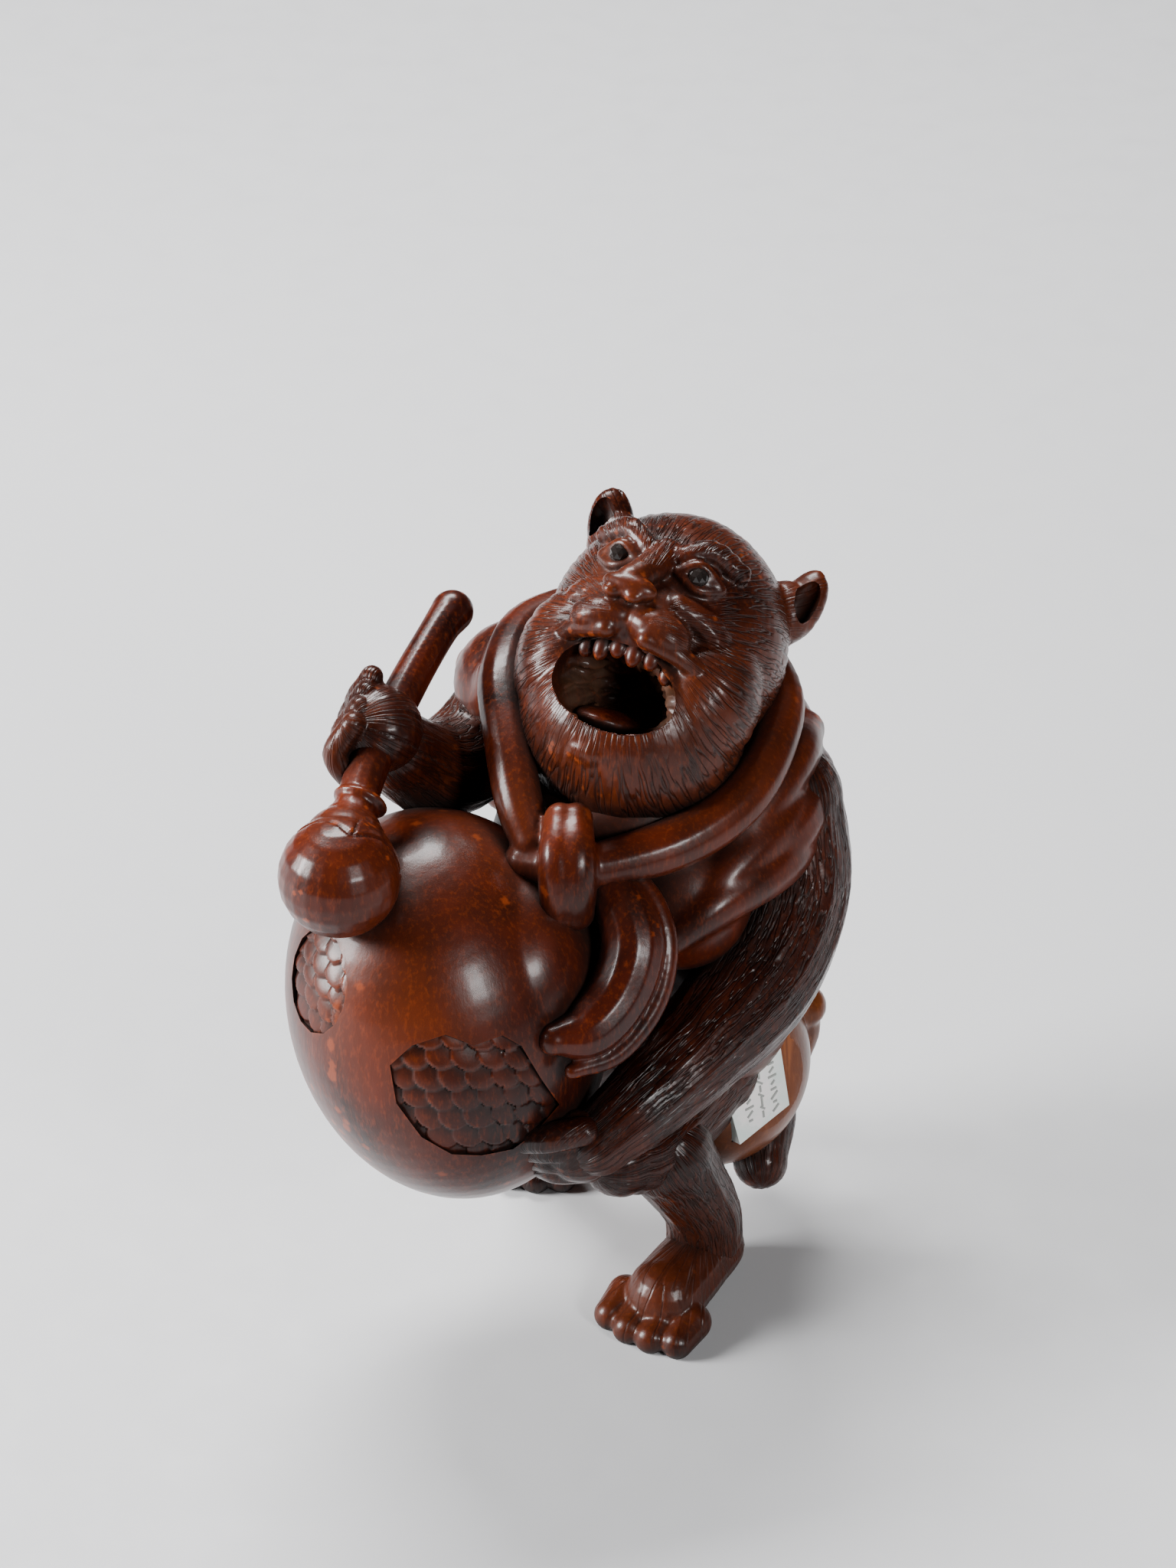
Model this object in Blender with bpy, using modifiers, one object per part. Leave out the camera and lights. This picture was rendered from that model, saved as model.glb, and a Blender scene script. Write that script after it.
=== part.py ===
"""Netsuke: a tanuki that strides along, chanting, with a slit gong under one arm and a mallet in its raised fist.

The figure faces -Y, its left is +X, and it stands on the plane z = 0. Places and radii of the carving are in carving
units, of which the figure's height holds a fixed number. Walls, inlays, holes and clearances are sizes of their own.
"""

import math

import bmesh
import bpy
import numpy as np
from mathutils import Matrix, Vector

# Driving sizes in metres
HEIGHT = 0.0455  # from the soles to the top of the higher ear
INLAY_GAP = 0.00025  # between an inlay and its pocket, on every side
TABLET_THICKNESS = 0.0009
TABLET_PROUD = 0.00015  # how far the tablet's face stands out of the pouch
PUPIL_DIAMETER = 0.0012
CORD_HOLE_DIAMETER = 0.0026
CORD_HOLE_SPACING = 0.0070  # between the middles of the two holes
CORD_HOLE_DEPTH = 0.0042
SLIT_WIDTH = 0.0009
SLIT_LENGTH = 0.0110
SLIT_DEPTH = 0.0045
SLIT_END_DIAMETER = 0.0019
SLIT_END_DEPTH = 0.0053

# Fineness of the faceted solid
UNITS_IN_HEIGHT = 45.5
FINE_GRAIN = 0.2  # voxel sizes, in carving units
BROAD_GRAIN = 0.3
HEAD_TRIANGLES = 1950
HOLLOW_TRIANGLES = 240
MOUTH_TRIANGLES = 220
PAW_TRIANGLES = 310
BODY_TRIANGLES = 2850

UNIT = HEIGHT / UNITS_IN_HEIGHT
WELD = 1e-7  # points this close, in metres, are one

# The head is thrown back, turned to its right and rolled to its left
HEAD_CENTRE = (0.7, 14.9, 37.2)
HEAD_BACK = 43
HEAD_TURN = 14
HEAD_ROLL = 19
HEAD_AXES = (
    Matrix.Rotation(math.radians(-HEAD_BACK), 3, "X")
    @ Matrix.Rotation(math.radians(-HEAD_TURN), 3, "Z")
    @ Matrix.Rotation(math.radians(HEAD_ROLL), 3, "Y")
)

GONG_CENTRE = (-10.9, 4.8, 21.4)
GONG_RADII = (8.8, 9.6, 11.6)


def turned(x=0, y=0, z=0):
    """Rotation by degrees about X, then Y, then Z."""
    return (
        Matrix.Rotation(math.radians(z), 3, "Z")
        @ Matrix.Rotation(math.radians(y), 3, "Y")
        @ Matrix.Rotation(math.radians(x), 3, "X")
    )


def facing(direction):
    """Rotation that takes +Z to the direction."""
    return Vector(direction).to_track_quat("Z", "Y").to_matrix()


GONG_LEAN = turned(y=-12)

# The tablet lies in a flat facet of the pouch. Its outline is in the facet's plane, anticlockwise seen from outside
TABLET_MIDDLE = (7.1, 10.2, 10.9)
TABLET_OUT = Vector((0.62, -0.76, 0.2)).normalized()
TABLET_ACROSS = Vector((0, 0, 1)).cross(TABLET_OUT).normalized()
TABLET_AXES = Matrix((TABLET_ACROSS, TABLET_OUT.cross(TABLET_ACROSS), TABLET_OUT)).transposed()
TABLET_CORNERS = ((-2.45, -2.45), (1.45, -1.6), (1.3, 3.3), (-3.0, 1.5))
POUCH_DEPTH = 4.7
FACET_SINK = 0.6
POUCH_CENTRE = Vector(TABLET_MIDDLE) - TABLET_OUT * (POUCH_DEPTH - FACET_SINK)
POUCH_TURN = math.degrees(math.atan2(TABLET_OUT.x, -TABLET_OUT.y))

# Each bed of scales is cut along a line of sight: places are across it and up it, from the gong's centre
PATCH_DEPTH = 0.45
SCALE_PITCH = 1.35
FRONT_SIGHT = (0, 0.82, -0.57)
FRONT_PATCH = (
    (-2.5, -4.9), (-1.2, -6.8), (0.4, -7.8), (2.0, -7.9), (3.7, -7.6), (4.8, -6.8), (6.2, -5.2), (5.2, -3.6),
    (4.2, -1.8), (3.2, -1.2), (1.7, -1.7), (0.2, -1.1), (-1.6, -1.7), (-2.8, -2.8),
)
SIDE_SIGHT = (0.74, 0.5, -0.46)
SIDE_PATCH_SIDES = 14
SIDE_PATCH_RADII = (2.7, 2.9)
SIDE_PATCH = tuple(
    (SIDE_PATCH_RADII[0] * math.cos(turn), 0.8 + SIDE_PATCH_RADII[1] * math.sin(turn))
    for turn in np.linspace(0, math.tau, SIDE_PATCH_SIDES, endpoint=False)
)
SCALE_LEAN = -0.42
EYE = (2.3, 6.05, 4.6)
CORD_HOLES_MIDDLE = (1.2, 23.6, 22.5)
CAPE_FOLDS = 7


def on_head(right, front, up):
    """A place given along the head's own axes, from its centre."""
    return Vector(HEAD_CENTRE) + HEAD_AXES @ Vector((right, -front, up))


def ball(centre, radii, turn=None):
    turn = turn or Matrix.Identity(3)
    clay = bmesh.new()
    size = Matrix.Diagonal((*[radius * UNIT for radius in radii], 1))
    place = Matrix.Translation(Vector(centre) * UNIT) @ turn.to_4x4() @ size
    around = 24 if max(radii) < 4 else 64
    bmesh.ops.create_uvsphere(clay, u_segments=around, v_segments=around // 2, radius=1, matrix=place)
    return clay


def head_ball(right, front, up, radii, turn=None):
    return ball(on_head(right, front, up), radii, HEAD_AXES @ (turn or Matrix.Identity(3)))


def flowing(points, steps=6):
    """A smooth run through points of any size, as a Catmull-Rom curve."""
    knots = [np.array(point, float) for point in points]
    knots = [2 * knots[0] - knots[1], *knots, 2 * knots[-1] - knots[-2]]
    run = []
    for a, b, c, d in zip(knots, knots[1:], knots[2:], knots[3:]):
        for step in range(steps):
            t = step / steps
            run.append(
                0.5 * (2 * b + (c - a) * t + (2 * a - 5 * b + 4 * c - d) * t**2 + (3 * b - a - 3 * c + d) * t**3)
            )
    run.append(knots[-2])
    return run


def limb(points, steps=6):
    """A round-ended tube through (x, y, z, radius) points."""
    run = flowing(points, steps)
    curve = bpy.data.curves.new("limb", "CURVE")
    curve.dimensions = "3D"
    curve.bevel_depth = UNIT
    curve.bevel_resolution = 4
    curve.use_fill_caps = True
    spline = curve.splines.new("POLY")
    spline.points.add(len(run) - 1)
    for point, (x, y, z, radius) in zip(spline.points, run):
        point.co = (x * UNIT, y * UNIT, z * UNIT, 1)
        point.radius = radius
    guide = bpy.data.objects.new("limb", curve)
    bpy.context.scene.collection.objects.link(guide)
    mesh = bpy.data.meshes.new_from_object(guide.evaluated_get(bpy.context.evaluated_depsgraph_get()))
    bpy.data.objects.remove(guide)
    bpy.data.curves.remove(curve)
    clay = bmesh.new()
    clay.from_mesh(mesh)
    bpy.data.meshes.remove(mesh)
    bmesh.ops.remove_doubles(clay, verts=clay.verts, dist=WELD)
    for x, y, z, radius in (run[0], run[-1]):
        end = ball((x, y, z), (radius, radius, radius))
        mesh = bpy.data.meshes.new("end")
        end.to_mesh(mesh)
        end.free()
        clay.from_mesh(mesh)
        bpy.data.meshes.remove(mesh)
    return clay


def head_limb(points):
    return limb([(*on_head(*point[:3]), point[3]) for point in points])


def joined(name, clays):
    """One object that holds every lump of clay, each still a body of its own. It is a helper until it is shown."""
    mesh = bpy.data.meshes.new(name)
    whole = bmesh.new()
    for clay in clays:
        clay.to_mesh(mesh)
        clay.free()
        whole.from_mesh(mesh)
    bmesh.ops.recalc_face_normals(whole, faces=whole.faces)
    whole.to_mesh(mesh)
    whole.free()
    made = bpy.data.objects.new(name, mesh)
    bpy.context.scene.collection.children["cutters"].objects.link(made)
    made.hide_render = True
    made.display_type = "WIRE"
    return made


def shown(made, finish):
    """The object moved among the netsuke's own pieces, with its material."""
    bpy.context.scene.collection.children["cutters"].objects.unlink(made)
    bpy.context.scene.collection.children["netsuke"].objects.link(made)
    made.hide_render = False
    made.display_type = "TEXTURED"
    made.data.materials.clear()
    made.data.materials.append(finish)
    made.data.shade_smooth()
    made.data.set_sharp_from_angle(angle=math.radians(40))


def applied(made):
    """The object with its modifiers turned into mesh."""
    graph = bpy.context.evaluated_depsgraph_get()
    mesh = bpy.data.meshes.new_from_object(made.evaluated_get(graph))
    made.modifiers.clear()
    old = made.data
    made.data = mesh
    bpy.data.meshes.remove(old)
    return made


def fused(made, grain=FINE_GRAIN):
    """Overlapping lumps made one skin, as a carver leaves them."""
    remesh = made.modifiers.new("fuse", "REMESH")
    remesh.mode = "VOXEL"
    remesh.voxel_size = grain * UNIT
    smooth = made.modifiers.new("soften", "SMOOTH")
    smooth.factor = 0.5
    smooth.iterations = 2
    return applied(made)


def faceted(made, triangles):
    """The skin cut down to about this many triangles."""
    decimate = made.modifiers.new("facets", "DECIMATE")
    decimate.ratio = triangles / sum(len(face.vertices) - 2 for face in made.data.polygons)
    return applied(made)


def combined(made, other, operation):
    """A Boolean, after which the other object is gone. EXACT leaves open edges where fine skins cross at a slant."""
    boolean = made.modifiers.new("combine", "BOOLEAN")
    boolean.operation = operation
    boolean.object = other
    boolean.solver = "MANIFOLD"
    applied(made)
    bpy.data.objects.remove(other)
    return made


def filled(made):
    """The wood is solid: keeps the outer skin alone, and so fills each sealed hollow between lumps of clay."""
    clay = bmesh.new()
    clay.from_mesh(made.data)
    skins, seen = [], set()
    for start in clay.verts:
        if start in seen:
            continue
        skin, ahead = {start}, [start]
        while ahead:
            found = {edge.other_vert(point) for point in [ahead.pop()] for edge in point.link_edges} - skin
            skin |= found
            ahead.extend(found)
        seen |= skin
        skins.append(skin)
    outer = max(skins, key=len)
    bmesh.ops.delete(clay, geom=[point for point in clay.verts if point not in outer], context="VERTS")
    clay.to_mesh(made.data)
    clay.free()


def material(name, colour, roughness):
    made = bpy.data.materials.new(name)
    made.use_nodes = True
    shader = made.node_tree.nodes["Principled BSDF"]
    shader.inputs["Base Color"].default_value = (*colour, 1)
    shader.inputs["Roughness"].default_value = roughness
    return made


def head():
    """Skull, jowls, muzzle, lips, chin, brows and lidded eyes, along the head's own axes."""
    clays = [
        head_ball(0, -0.3, 1.0, (6.8, 7.2, 7.6)),
        head_ball(0.1, 1.8, -3.5, (6.4, 6.2, 5.9)),
        head_ball(-0.3, 4.7, 1.5, (3.7, 3.3, 2.7)),
        head_ball(-0.1, 8.4, 2.7, (1.4, 0.85, 0.75), turned(x=-20)),
        head_limb([(0.2, 5.6, 5.4, 0.9), (0.1, 6.8, 4.3, 0.95), (-0.1, 7.9, 3.2, 0.95)]),
        head_ball(-1.3, 7.5, 1.2, (1.7, 1.5, 1.3), turned(y=-20)),
        head_ball(1.2, 7.5, 1.2, (1.7, 1.5, 1.3), turned(y=20)),
        head_ball(-0.5, 4.8, -4.9, (3.3, 2.6, 1.9)),
        head_ball(-0.2, 5.9, -6.0, (1.9, 1.6, 1.2)),
        head_limb([
            (1.2, 8.0, 0.4, 0.6), (3.0, 7.0, 0.1, 0.6), (4.2, 5.8, -0.6, 0.6), (4.3, 5.3, -2.2, 0.55),
            (3.6, 5.4, -4.2, 0.5), (2.0, 6.0, -5.5, 0.55), (-0.1, 6.3, -5.9, 0.6), (-2.2, 6.0, -5.6, 0.55),
            (-3.7, 5.4, -4.4, 0.5), (-4.4, 5.1, -2.6, 0.55), (-4.2, 5.6, -0.8, 0.6), (-3.0, 7.0, 0, 0.6),
            (-1.2, 7.9, 0.4, 0.6),
        ]),
    ]
    for side in (-1, 1):
        clays += [
            head_ball(side * 3.9, 2.8, -1.4, (3.1, 3.9, 4.2)),
            head_ball(side * 2.3, 5.35, 4.6, (1.0, 0.9, 0.9)),
            head_limb([(side * 1.0, 5.9, 5.5, 0.6), (side * 2.4, 5.3, 6.2, 0.7), (side * 4.0, 4.1, 5.6, 0.6)]),
            head_limb([(side * 1.2, 6.2, 4.6, 0.3), (side * 2.3, 6.2, 5.2, 0.3), (side * 3.5, 5.2, 4.4, 0.3)]),
            head_limb([(side * 1.2, 6.2, 4.5, 0.3), (side * 2.4, 6.0, 3.95, 0.35), (side * 3.5, 5.2, 4.3, 0.3)]),
            head_limb([(side * 1.8, 6.6, 2.7, 0.7), (side * 3.6, 5.2, 2.0, 1.0), (side * 4.6, 4.0, 0.2, 1.0)]),
            head_ball(side * 5.1, -2.6, 5.4 - 0.5 * side, (1.8, 1.6, 2.0), turned(y=side * 20)),
            head_ball(side * 5.9, -3.0, 6.2 - 0.6 * side, (1.4, 1.0, 2.4), EAR_LEAN[side]),
        ]
    return clays


EAR_LEAN = {side: turned(y=side * 16, z=side * -25) for side in (-1, 1)}


def ear_hollow(side):
    return head_ball(side * 6.2, -2.0, 6.2 - 0.6 * side, (0.8, 0.75, 1.65), EAR_LEAN[side])


def mouth_hollow():
    return [
        head_ball(0.0, 6.3, -2.6, (3.7, 3.2, 2.6), turned(y=8)),
        head_ball(0.0, 3.8, -2.4, (2.7, 3.0, 2.0)),
    ]


def tongue():
    return [head_ball(-0.5, 4.0, -4.1, (1.9, 2.6, 0.7), turned(x=6))]


def teeth():
    clays = []
    for place in range(6):
        off = (place - 2.5) * 0.95
        clays.append(head_ball(off, 6.9 - 0.13 * off**2, -0.25 - 0.07 * off**2, (0.44, 0.4, 0.62)))
    return clays


def torso():
    return [
        ball((1.4, 14.6, 24.0), (7.6, 7.2, 10.8)),
        ball((-0.8, 12.0, 30.4), (6.2, 6.6, 5.0)),
        ball((3.0, 13.2, 16.4), (6.0, 6.0, 7.0)),
        ball((-2.2, 12.6, 26.0), (6.5, 6.0, 7.0)),
        ball((-0.6, 9.6, 30.8), (5.2, 4.4, 2.9)),
        ball((2.0, 8.2, 26.6), (4.0, 4.2, 4.4)),
    ]


def cape():
    """Cloth over shoulders and back, with its folds and the pointed flap on the left upper arm."""
    clays = [
        ball((0.9, 17.8, 30.0), (9.0, 5.4, 6.2)),
        ball((1.2, 17.4, 24.5), (8.6, 5.8, 10.2)),
        ball((1.2, 16.6, 20.2), (9.0, 6.3, 7.2)),
        ball((-6.8, 17.0, 34.6), (3.9, 3.6, 3.7)),
        ball((7.2, 14.4, 29.8), (3.0, 3.8, 4.0)),
        limb([(1.5, 3.8, 26.5, 0.8), (3.9, 5.6, 27.9, 1.5), (6.9, 9.0, 28.2, 1.9), (9.2, 13.4, 27.6, 1.4)]),
        limb([(2.3, 4.8, 27.6, 0.8), (4.8, 6.9, 29.3, 1.4), (7.3, 10.2, 30.2, 1.6), (9.2, 15.0, 30.0, 1.3)]),
        limb([(3.4, 6.6, 29.2, 0.8), (6.0, 9.0, 31.2, 1.2), (8.2, 12.6, 32.4, 1.3), (9.0, 17.0, 31.4, 1.2)]),
        limb([(2.6, 5.2, 27.1, 0.9), (5.0, 7.6, 28.4, 1.9), (7.4, 11.0, 29.2, 2.4), (8.6, 15.0, 29.6, 2.2)]),
        limb([(9.0, 12.4, 30.4, 1.0), (9.8, 14.6, 25.4, 1.2), (9.1, 15.6, 19.8, 1.1), (7.6, 16.8, 14.8, 1.0)]),
        limb([(-8.2, 14.6, 36.6, 1.2), (-8.6, 15.6, 33.4, 1.5), (-7.4, 14.6, 30.0, 1.5), (-6.2, 12.6, 27.6, 1.2)]),
        limb([(-9.4, 18.2, 35.0, 1.2), (-9.0, 19.4, 30.4, 1.4), (-8.0, 19.6, 25.4, 1.2)]),
    ]
    for fold in range(CAPE_FOLDS):
        share = fold / (CAPE_FOLDS - 1) * 2 - 1
        side, deep = 8.5 * math.sin(share * 1.15), 5.7 * math.cos(share * 1.15)
        clays.append(
            limb([
                (1.2 + 0.75 * side, 17.0 + 0.85 * deep, 33.0, 0.7),
                (1.2 + 0.95 * side, 17.2 + deep, 27.0, 0.9),
                (1.2 + side, 16.8 + deep, 20.6, 1.1),
                (1.4 + 1.02 * side, 15.6 + deep, 14.8 + 0.8 * abs(share), 1.05),
            ])
        )
    hem = []
    for turn in np.linspace(-1.25, 1.25, CAPE_FOLDS):
        hem.append((1.4 + 8.5 * math.sin(turn), 15.4 + 5.6 * math.cos(turn), 14.4 + 0.8 * abs(turn), 0.9))
    return [*clays, limb(hem)]


def scarf():
    """The thick roll round the neck and its flat knot at the throat."""
    return [
        limb([
            (-6.2, 5.4, 32.0, 1.15), (-6.9, 7.2, 33.4, 1.35), (-7.5, 10.4, 35.4, 1.4), (-7.8, 14.4, 36.9, 1.4),
            (-6.2, 19.4, 37.0, 1.4), (-1.0, 22.4, 36.4, 1.4), (4.6, 20.6, 35.8, 1.4), (7.3, 15.6, 35.2, 1.4),
            (6.9, 11.6, 34.2, 1.45), (5.0, 8.1, 32.8, 1.5), (1.9, 5.7, 31.9, 1.5), (-1.6, 4.3, 31.5, 1.35),
            (-4.0, 3.9, 31.4, 1.2), (-6.6, 4.9, 31.0, 1.15),
        ]),
        limb([(-3.75, 5.3, 33.6, 0.9), (-3.8, 3.3, 32.7, 1.1), (-3.8, 2.6, 30.9, 1.15), (-3.8, 2.7, 29.3, 1.05)]),
        limb([(-4.65, 5.3, 33.6, 0.9), (-4.75, 3.3, 32.6, 1.1), (-4.7, 2.6, 30.9, 1.15), (-4.7, 2.7, 29.4, 1.05)]),
    ]


def left_arm():
    return [
        limb([
            (8.0, 13.6, 29.2, 3.2), (8.2, 11.8, 24.8, 3.6), (6.4, 7.6, 21.4, 3.5), (2.9, 2.9, 19.8, 2.9),
            (-0.3, -0.3, 18.4, 2.4), (-2.6, -1.7, 17.0, 2.0),
        ]),
    ]


def left_hand():
    """The hand that holds the gong from below, its fingers one above the other."""
    clays = [ball((-3.6, -1.8, 16.7), (2.1, 1.5, 2.3))]
    for row in range(4):
        clays.append(
            limb([
                (-3.4 + 0.1 * row, -2.7 + 0.4 * row, 18.5 - 1.2 * row, 0.85),
                (-5.2 + 0.15 * row, -3.0 + 0.55 * row, 18.3 - 1.2 * row, 0.88),
                (-6.6 + 0.35 * row, -2.6 + 0.65 * row, 17.8 - 1.15 * row, 0.78),
            ])
        )
    return clays


def right_arm():
    return [
        limb([(-6.6, 17.2, 34.2, 3.2), (-9.2, 15.6, 31.4, 3.1), (-11.6, 12.5, 31.8, 2.8), (-13.7, 10.1, 34.8, 2.4)]),
    ]


def right_hand():
    """The fist, closed round the mallet's handle."""
    clays = [ball((-14.4, 8.9, 37.0), (2.4, 2.4, 2.5))]
    for row in range(4):
        clays.append(
            limb([
                (-15.7 + 0.3 * row, 7.2 + 1.05 * row, 38.5 + 0.3 * row, 0.68),
                (-16.7 + 0.35 * row, 6.6 + 1.05 * row, 36.9 + 0.35 * row, 0.74),
                (-15.8 + 0.35 * row, 6.4 + 1.0 * row, 35.2 + 0.4 * row, 0.7),
            ])
        )
    return clays


MALLET_RUN = Vector((5.2, 14.8, 7.2)).normalized()


def mallet():
    """A bulb-headed beater: the bulb, its two-ring neck and the handle up through the fist."""
    clays = [
        ball((-16.3, 0.6, 33.2), (3.3, 3.3, 3.3)),
        limb([(-16.1, 2.1, 34.0, 2.3), (-15.6, 4.0, 34.9, 1.3), (-15.0, 6.4, 36.0, 1.15), (-13.2, 10.6, 38.1, 1.1),
              (-11.4, 14.2, 39.7, 1.05), (-10.6, 15.8, 40.1, 1.2)]),
    ]
    for along in (4.5, 5.6):
        clays.append(ball(Vector((-17.0, -0.1, 32.8)) + MALLET_RUN * along, (1.55, 1.55, 0.45), facing(MALLET_RUN)))
    return clays


def gong():
    """The round slit gong with its two swelling lobes."""
    return [
        ball(GONG_CENTRE, GONG_RADII, GONG_LEAN),
        ball((-7.2, 4.8, 24.6), (5.2, 6.8, 6.4)),
    ]


def gong_handle():
    """The carved grip: a thick band that bows away from the gong, with a raised rim along its outer edge."""
    return [
        limb([(-2.6, 4.4, 30.6, 1.2), (-1.3, 3.2, 29.4, 1.6), (-0.7, 1.8, 27.7, 1.75), (-1.5, 0.3, 25.6, 1.75),
              (-3.2, -1.2, 24.3, 1.6), (-5.0, -2.0, 24.3, 0.9)]),
        limb([(-0.9, 4.4, 31.0, 0.5), (0.5, 3.2, 29.4, 0.6), (1.1, 1.8, 27.4, 0.65), (0.4, 0.1, 24.9, 0.65),
              (-1.6, -1.6, 23.0, 0.6), (-4.0, -2.6, 22.6, 0.45)]),
    ]


def pouch():
    """The smooth rounded pouch at the left hip and the knot of its tie."""
    return [
        ball(POUCH_CENTRE, (5.7, POUCH_DEPTH, 6.1), turned(z=POUCH_TURN)),
        limb([(8.0, 16.0, 14.6, 1.2), (9.3, 17.0, 10.8, 1.3), (9.0, 16.8, 8.0, 1.0)]),
        ball((9.4, 17.0, 11.8), (1.5, 1.5, 1.3)),
    ]


def front_leg():
    return [
        limb([(3.0, 11.5, 12.0, 4.0), (1.2, 7.4, 11.4, 3.2), (-0.4, 4.4, 11.4, 2.7), (-1.4, 3.2, 11.6, 2.2)]),
        limb([(1.2, 5.4, 10.4, 2.9), (2.4, 6.0, 7.8, 2.5), (3.4, 6.6, 5.2, 2.3), (3.6, 6.9, 3.0, 2.3)]),
    ]


def back_leg():
    return [
        limb([(0.6, 15.6, 14.6, 4.6), (-2.9, 15.6, 10.6, 3.8), (-4.8, 16.8, 7.0, 2.8), (-5.7, 19.4, 4.0, 2.2)]),
    ]


def paw(heel, ball_of_foot, toe_middle):
    """A foot as a tapering run, with a row of round toes across its front."""
    clays = [limb([heel, [(a + b) / 2 for a, b in zip(heel, ball_of_foot)], ball_of_foot])]
    ahead = (Vector(toe_middle) - Vector(heel[:3])) * Vector((1, 1, 0))
    ahead.normalize()
    across = Vector((-ahead.y, ahead.x, 0))
    for toe in range(4):
        off = toe - 1.5
        start = Vector(toe_middle) + across * off * 1.5 - ahead * (0.7 + 0.22 * off**2)
        tip = start + ahead * 1.7 - Vector((0, 0, 0.3))
        clays.append(limb([(*start, 1.15), (*tip, 0.98)]))
    return clays


def front_foot():
    return paw((3.9, 7.2, 1.8, 2.1), (1.3, 3.0, 1.6, 2.3), (0.3, 1.6, 1.0))


def back_foot():
    return paw((-5.5, 21.0, 2.0, 2.1), (-6.4, 16.9, 1.6, 2.3), (-6.8, 15.6, 1.0))


def tail():
    return [
        limb([(4.0, 18.6, 15.0, 2.6), (5.6, 17.6, 10.0, 3.0), (6.8, 14.8, 5.8, 2.5), (7.0, 12.2, 3.9, 1.7)]),
    ]


def slab(name, axes, outline, middle, thickness):
    """A flat plate: its outline, in metres, in the first two axes, and its thickness along the third."""
    curve = bpy.data.curves.new(name, "CURVE")
    curve.dimensions = "2D"
    curve.fill_mode = "BOTH"
    curve.extrude = thickness / 2
    spline = curve.splines.new("POLY")
    spline.points.add(len(outline) - 1)
    for point, (x, y) in zip(spline.points, outline):
        point.co = (x, y, 0, 1)
    spline.use_cyclic_u = True
    flat = bpy.data.objects.new(name, curve)
    bpy.context.scene.collection.objects.link(flat)
    mesh = bpy.data.meshes.new_from_object(flat.evaluated_get(bpy.context.evaluated_depsgraph_get()))
    bpy.data.objects.remove(flat)
    bpy.data.curves.remove(curve)
    clay = bmesh.new()
    clay.from_mesh(mesh)
    bpy.data.meshes.remove(mesh)
    bmesh.ops.remove_doubles(clay, verts=clay.verts, dist=WELD)
    place = Matrix.Translation(middle) @ axes.to_4x4()
    bmesh.ops.transform(clay, matrix=place, verts=clay.verts)
    return joined(name, [clay])


def pillar(centre, direction, diameter, length):
    """A straight round bar about its middle, sizes in metres."""
    clay = bmesh.new()
    place = Matrix.Translation(Vector(centre)) @ facing(direction).to_4x4()
    bmesh.ops.create_cone(
        clay, cap_ends=True, segments=16, radius1=diameter / 2, radius2=diameter / 2, depth=length, matrix=place
    )
    return clay


def block(centre, sides, turn):
    """A box about its middle, sizes in metres."""
    clay = bmesh.new()
    place = Matrix.Translation(Vector(centre)) @ turn.to_4x4() @ Matrix.Diagonal((*sides, 1))
    bmesh.ops.create_cube(clay, size=1, matrix=place)
    return clay


def widened(outline, gap):
    """A convex outline, given anticlockwise, with every side moved out by the gap."""
    wide = []
    for before, corner, after in zip(outline[-1:] + outline[:-1], outline, outline[1:] + outline[:1]):
        come, leave = (corner - before).normalized(), (after - corner).normalized()
        come_out, leave_out = Vector((come.y, -come.x)), Vector((leave.y, -leave.x))
        out = (come_out + leave_out).normalized()
        wide.append(corner + out * gap / out.dot(come_out))
    return wide


def tablet(name, gap, face, back):
    """The kite-shaped tablet, or its pocket: the gap round it, and its face and back from the facet, in metres."""
    outline = [Vector(corner) * UNIT for corner in TABLET_CORNERS]
    middle = Vector(TABLET_MIDDLE) * UNIT + TABLET_OUT * (face + back) / 2
    return slab(name, TABLET_AXES, widened(outline, gap), middle, face - back)


def tablet_facet():
    """What is cut off the pouch to leave a flat around the tablet."""
    reach, height = 3.7 * UNIT, 1.6 * UNIT
    return joined("facet", [
        pillar(Vector(TABLET_MIDDLE) * UNIT + TABLET_OUT * height / 2, TABLET_OUT, 2 * reach, height)
    ])


def pupil(name, side, diameter):
    """A bead, or its socket, in the front of one eyeball."""
    clay = bmesh.new()
    place = Matrix.Translation(on_head(side * EYE[0], *EYE[1:]) * UNIT)
    bmesh.ops.create_icosphere(clay, subdivisions=2, radius=diameter / 2, matrix=place)
    return joined(name, [clay])


def sight_axes(sight):
    """Across, up and towards the eye, for a line of sight."""
    back = -Vector(sight).normalized()
    across = Vector((0, 0, 1)).cross(back).normalized()
    return Matrix((across, back.cross(across), back)).transposed()


def gong_skin(sight, across, up, sink):
    """Where a line of sight meets the gong, sunk by this much, and the way out of its skin there."""
    axes = sight_axes(sight)
    start = Vector(GONG_CENTRE) + axes @ Vector((across, up, 0))
    squash = Matrix.Diagonal([1 / (radius - sink) for radius in GONG_RADII]) @ GONG_LEAN.transposed()
    origin = squash @ (start - Vector(GONG_CENTRE))
    ray = squash @ axes.col[2]
    a, b, c = ray.dot(ray), 2 * origin.dot(ray), origin.dot(origin) - 1
    if b * b < 4 * a * c:
        return None
    reach = (-b + math.sqrt(b * b - 4 * a * c)) / (2 * a)
    out = squash.transposed() @ (origin + ray * reach)
    return start + axes.col[2] * reach, out.normalized()


def inside(outline, across, up):
    """Whether a place is within an outline."""
    crossings = 0
    for (x0, y0), (x1, y1) in zip(outline, outline[1:] + outline[:1]):
        if (y0 > up) != (y1 > up) and across < x0 + (x1 - x0) * (up - y0) / (y1 - y0):
            crossings += 1
    return crossings % 2 == 1


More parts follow.
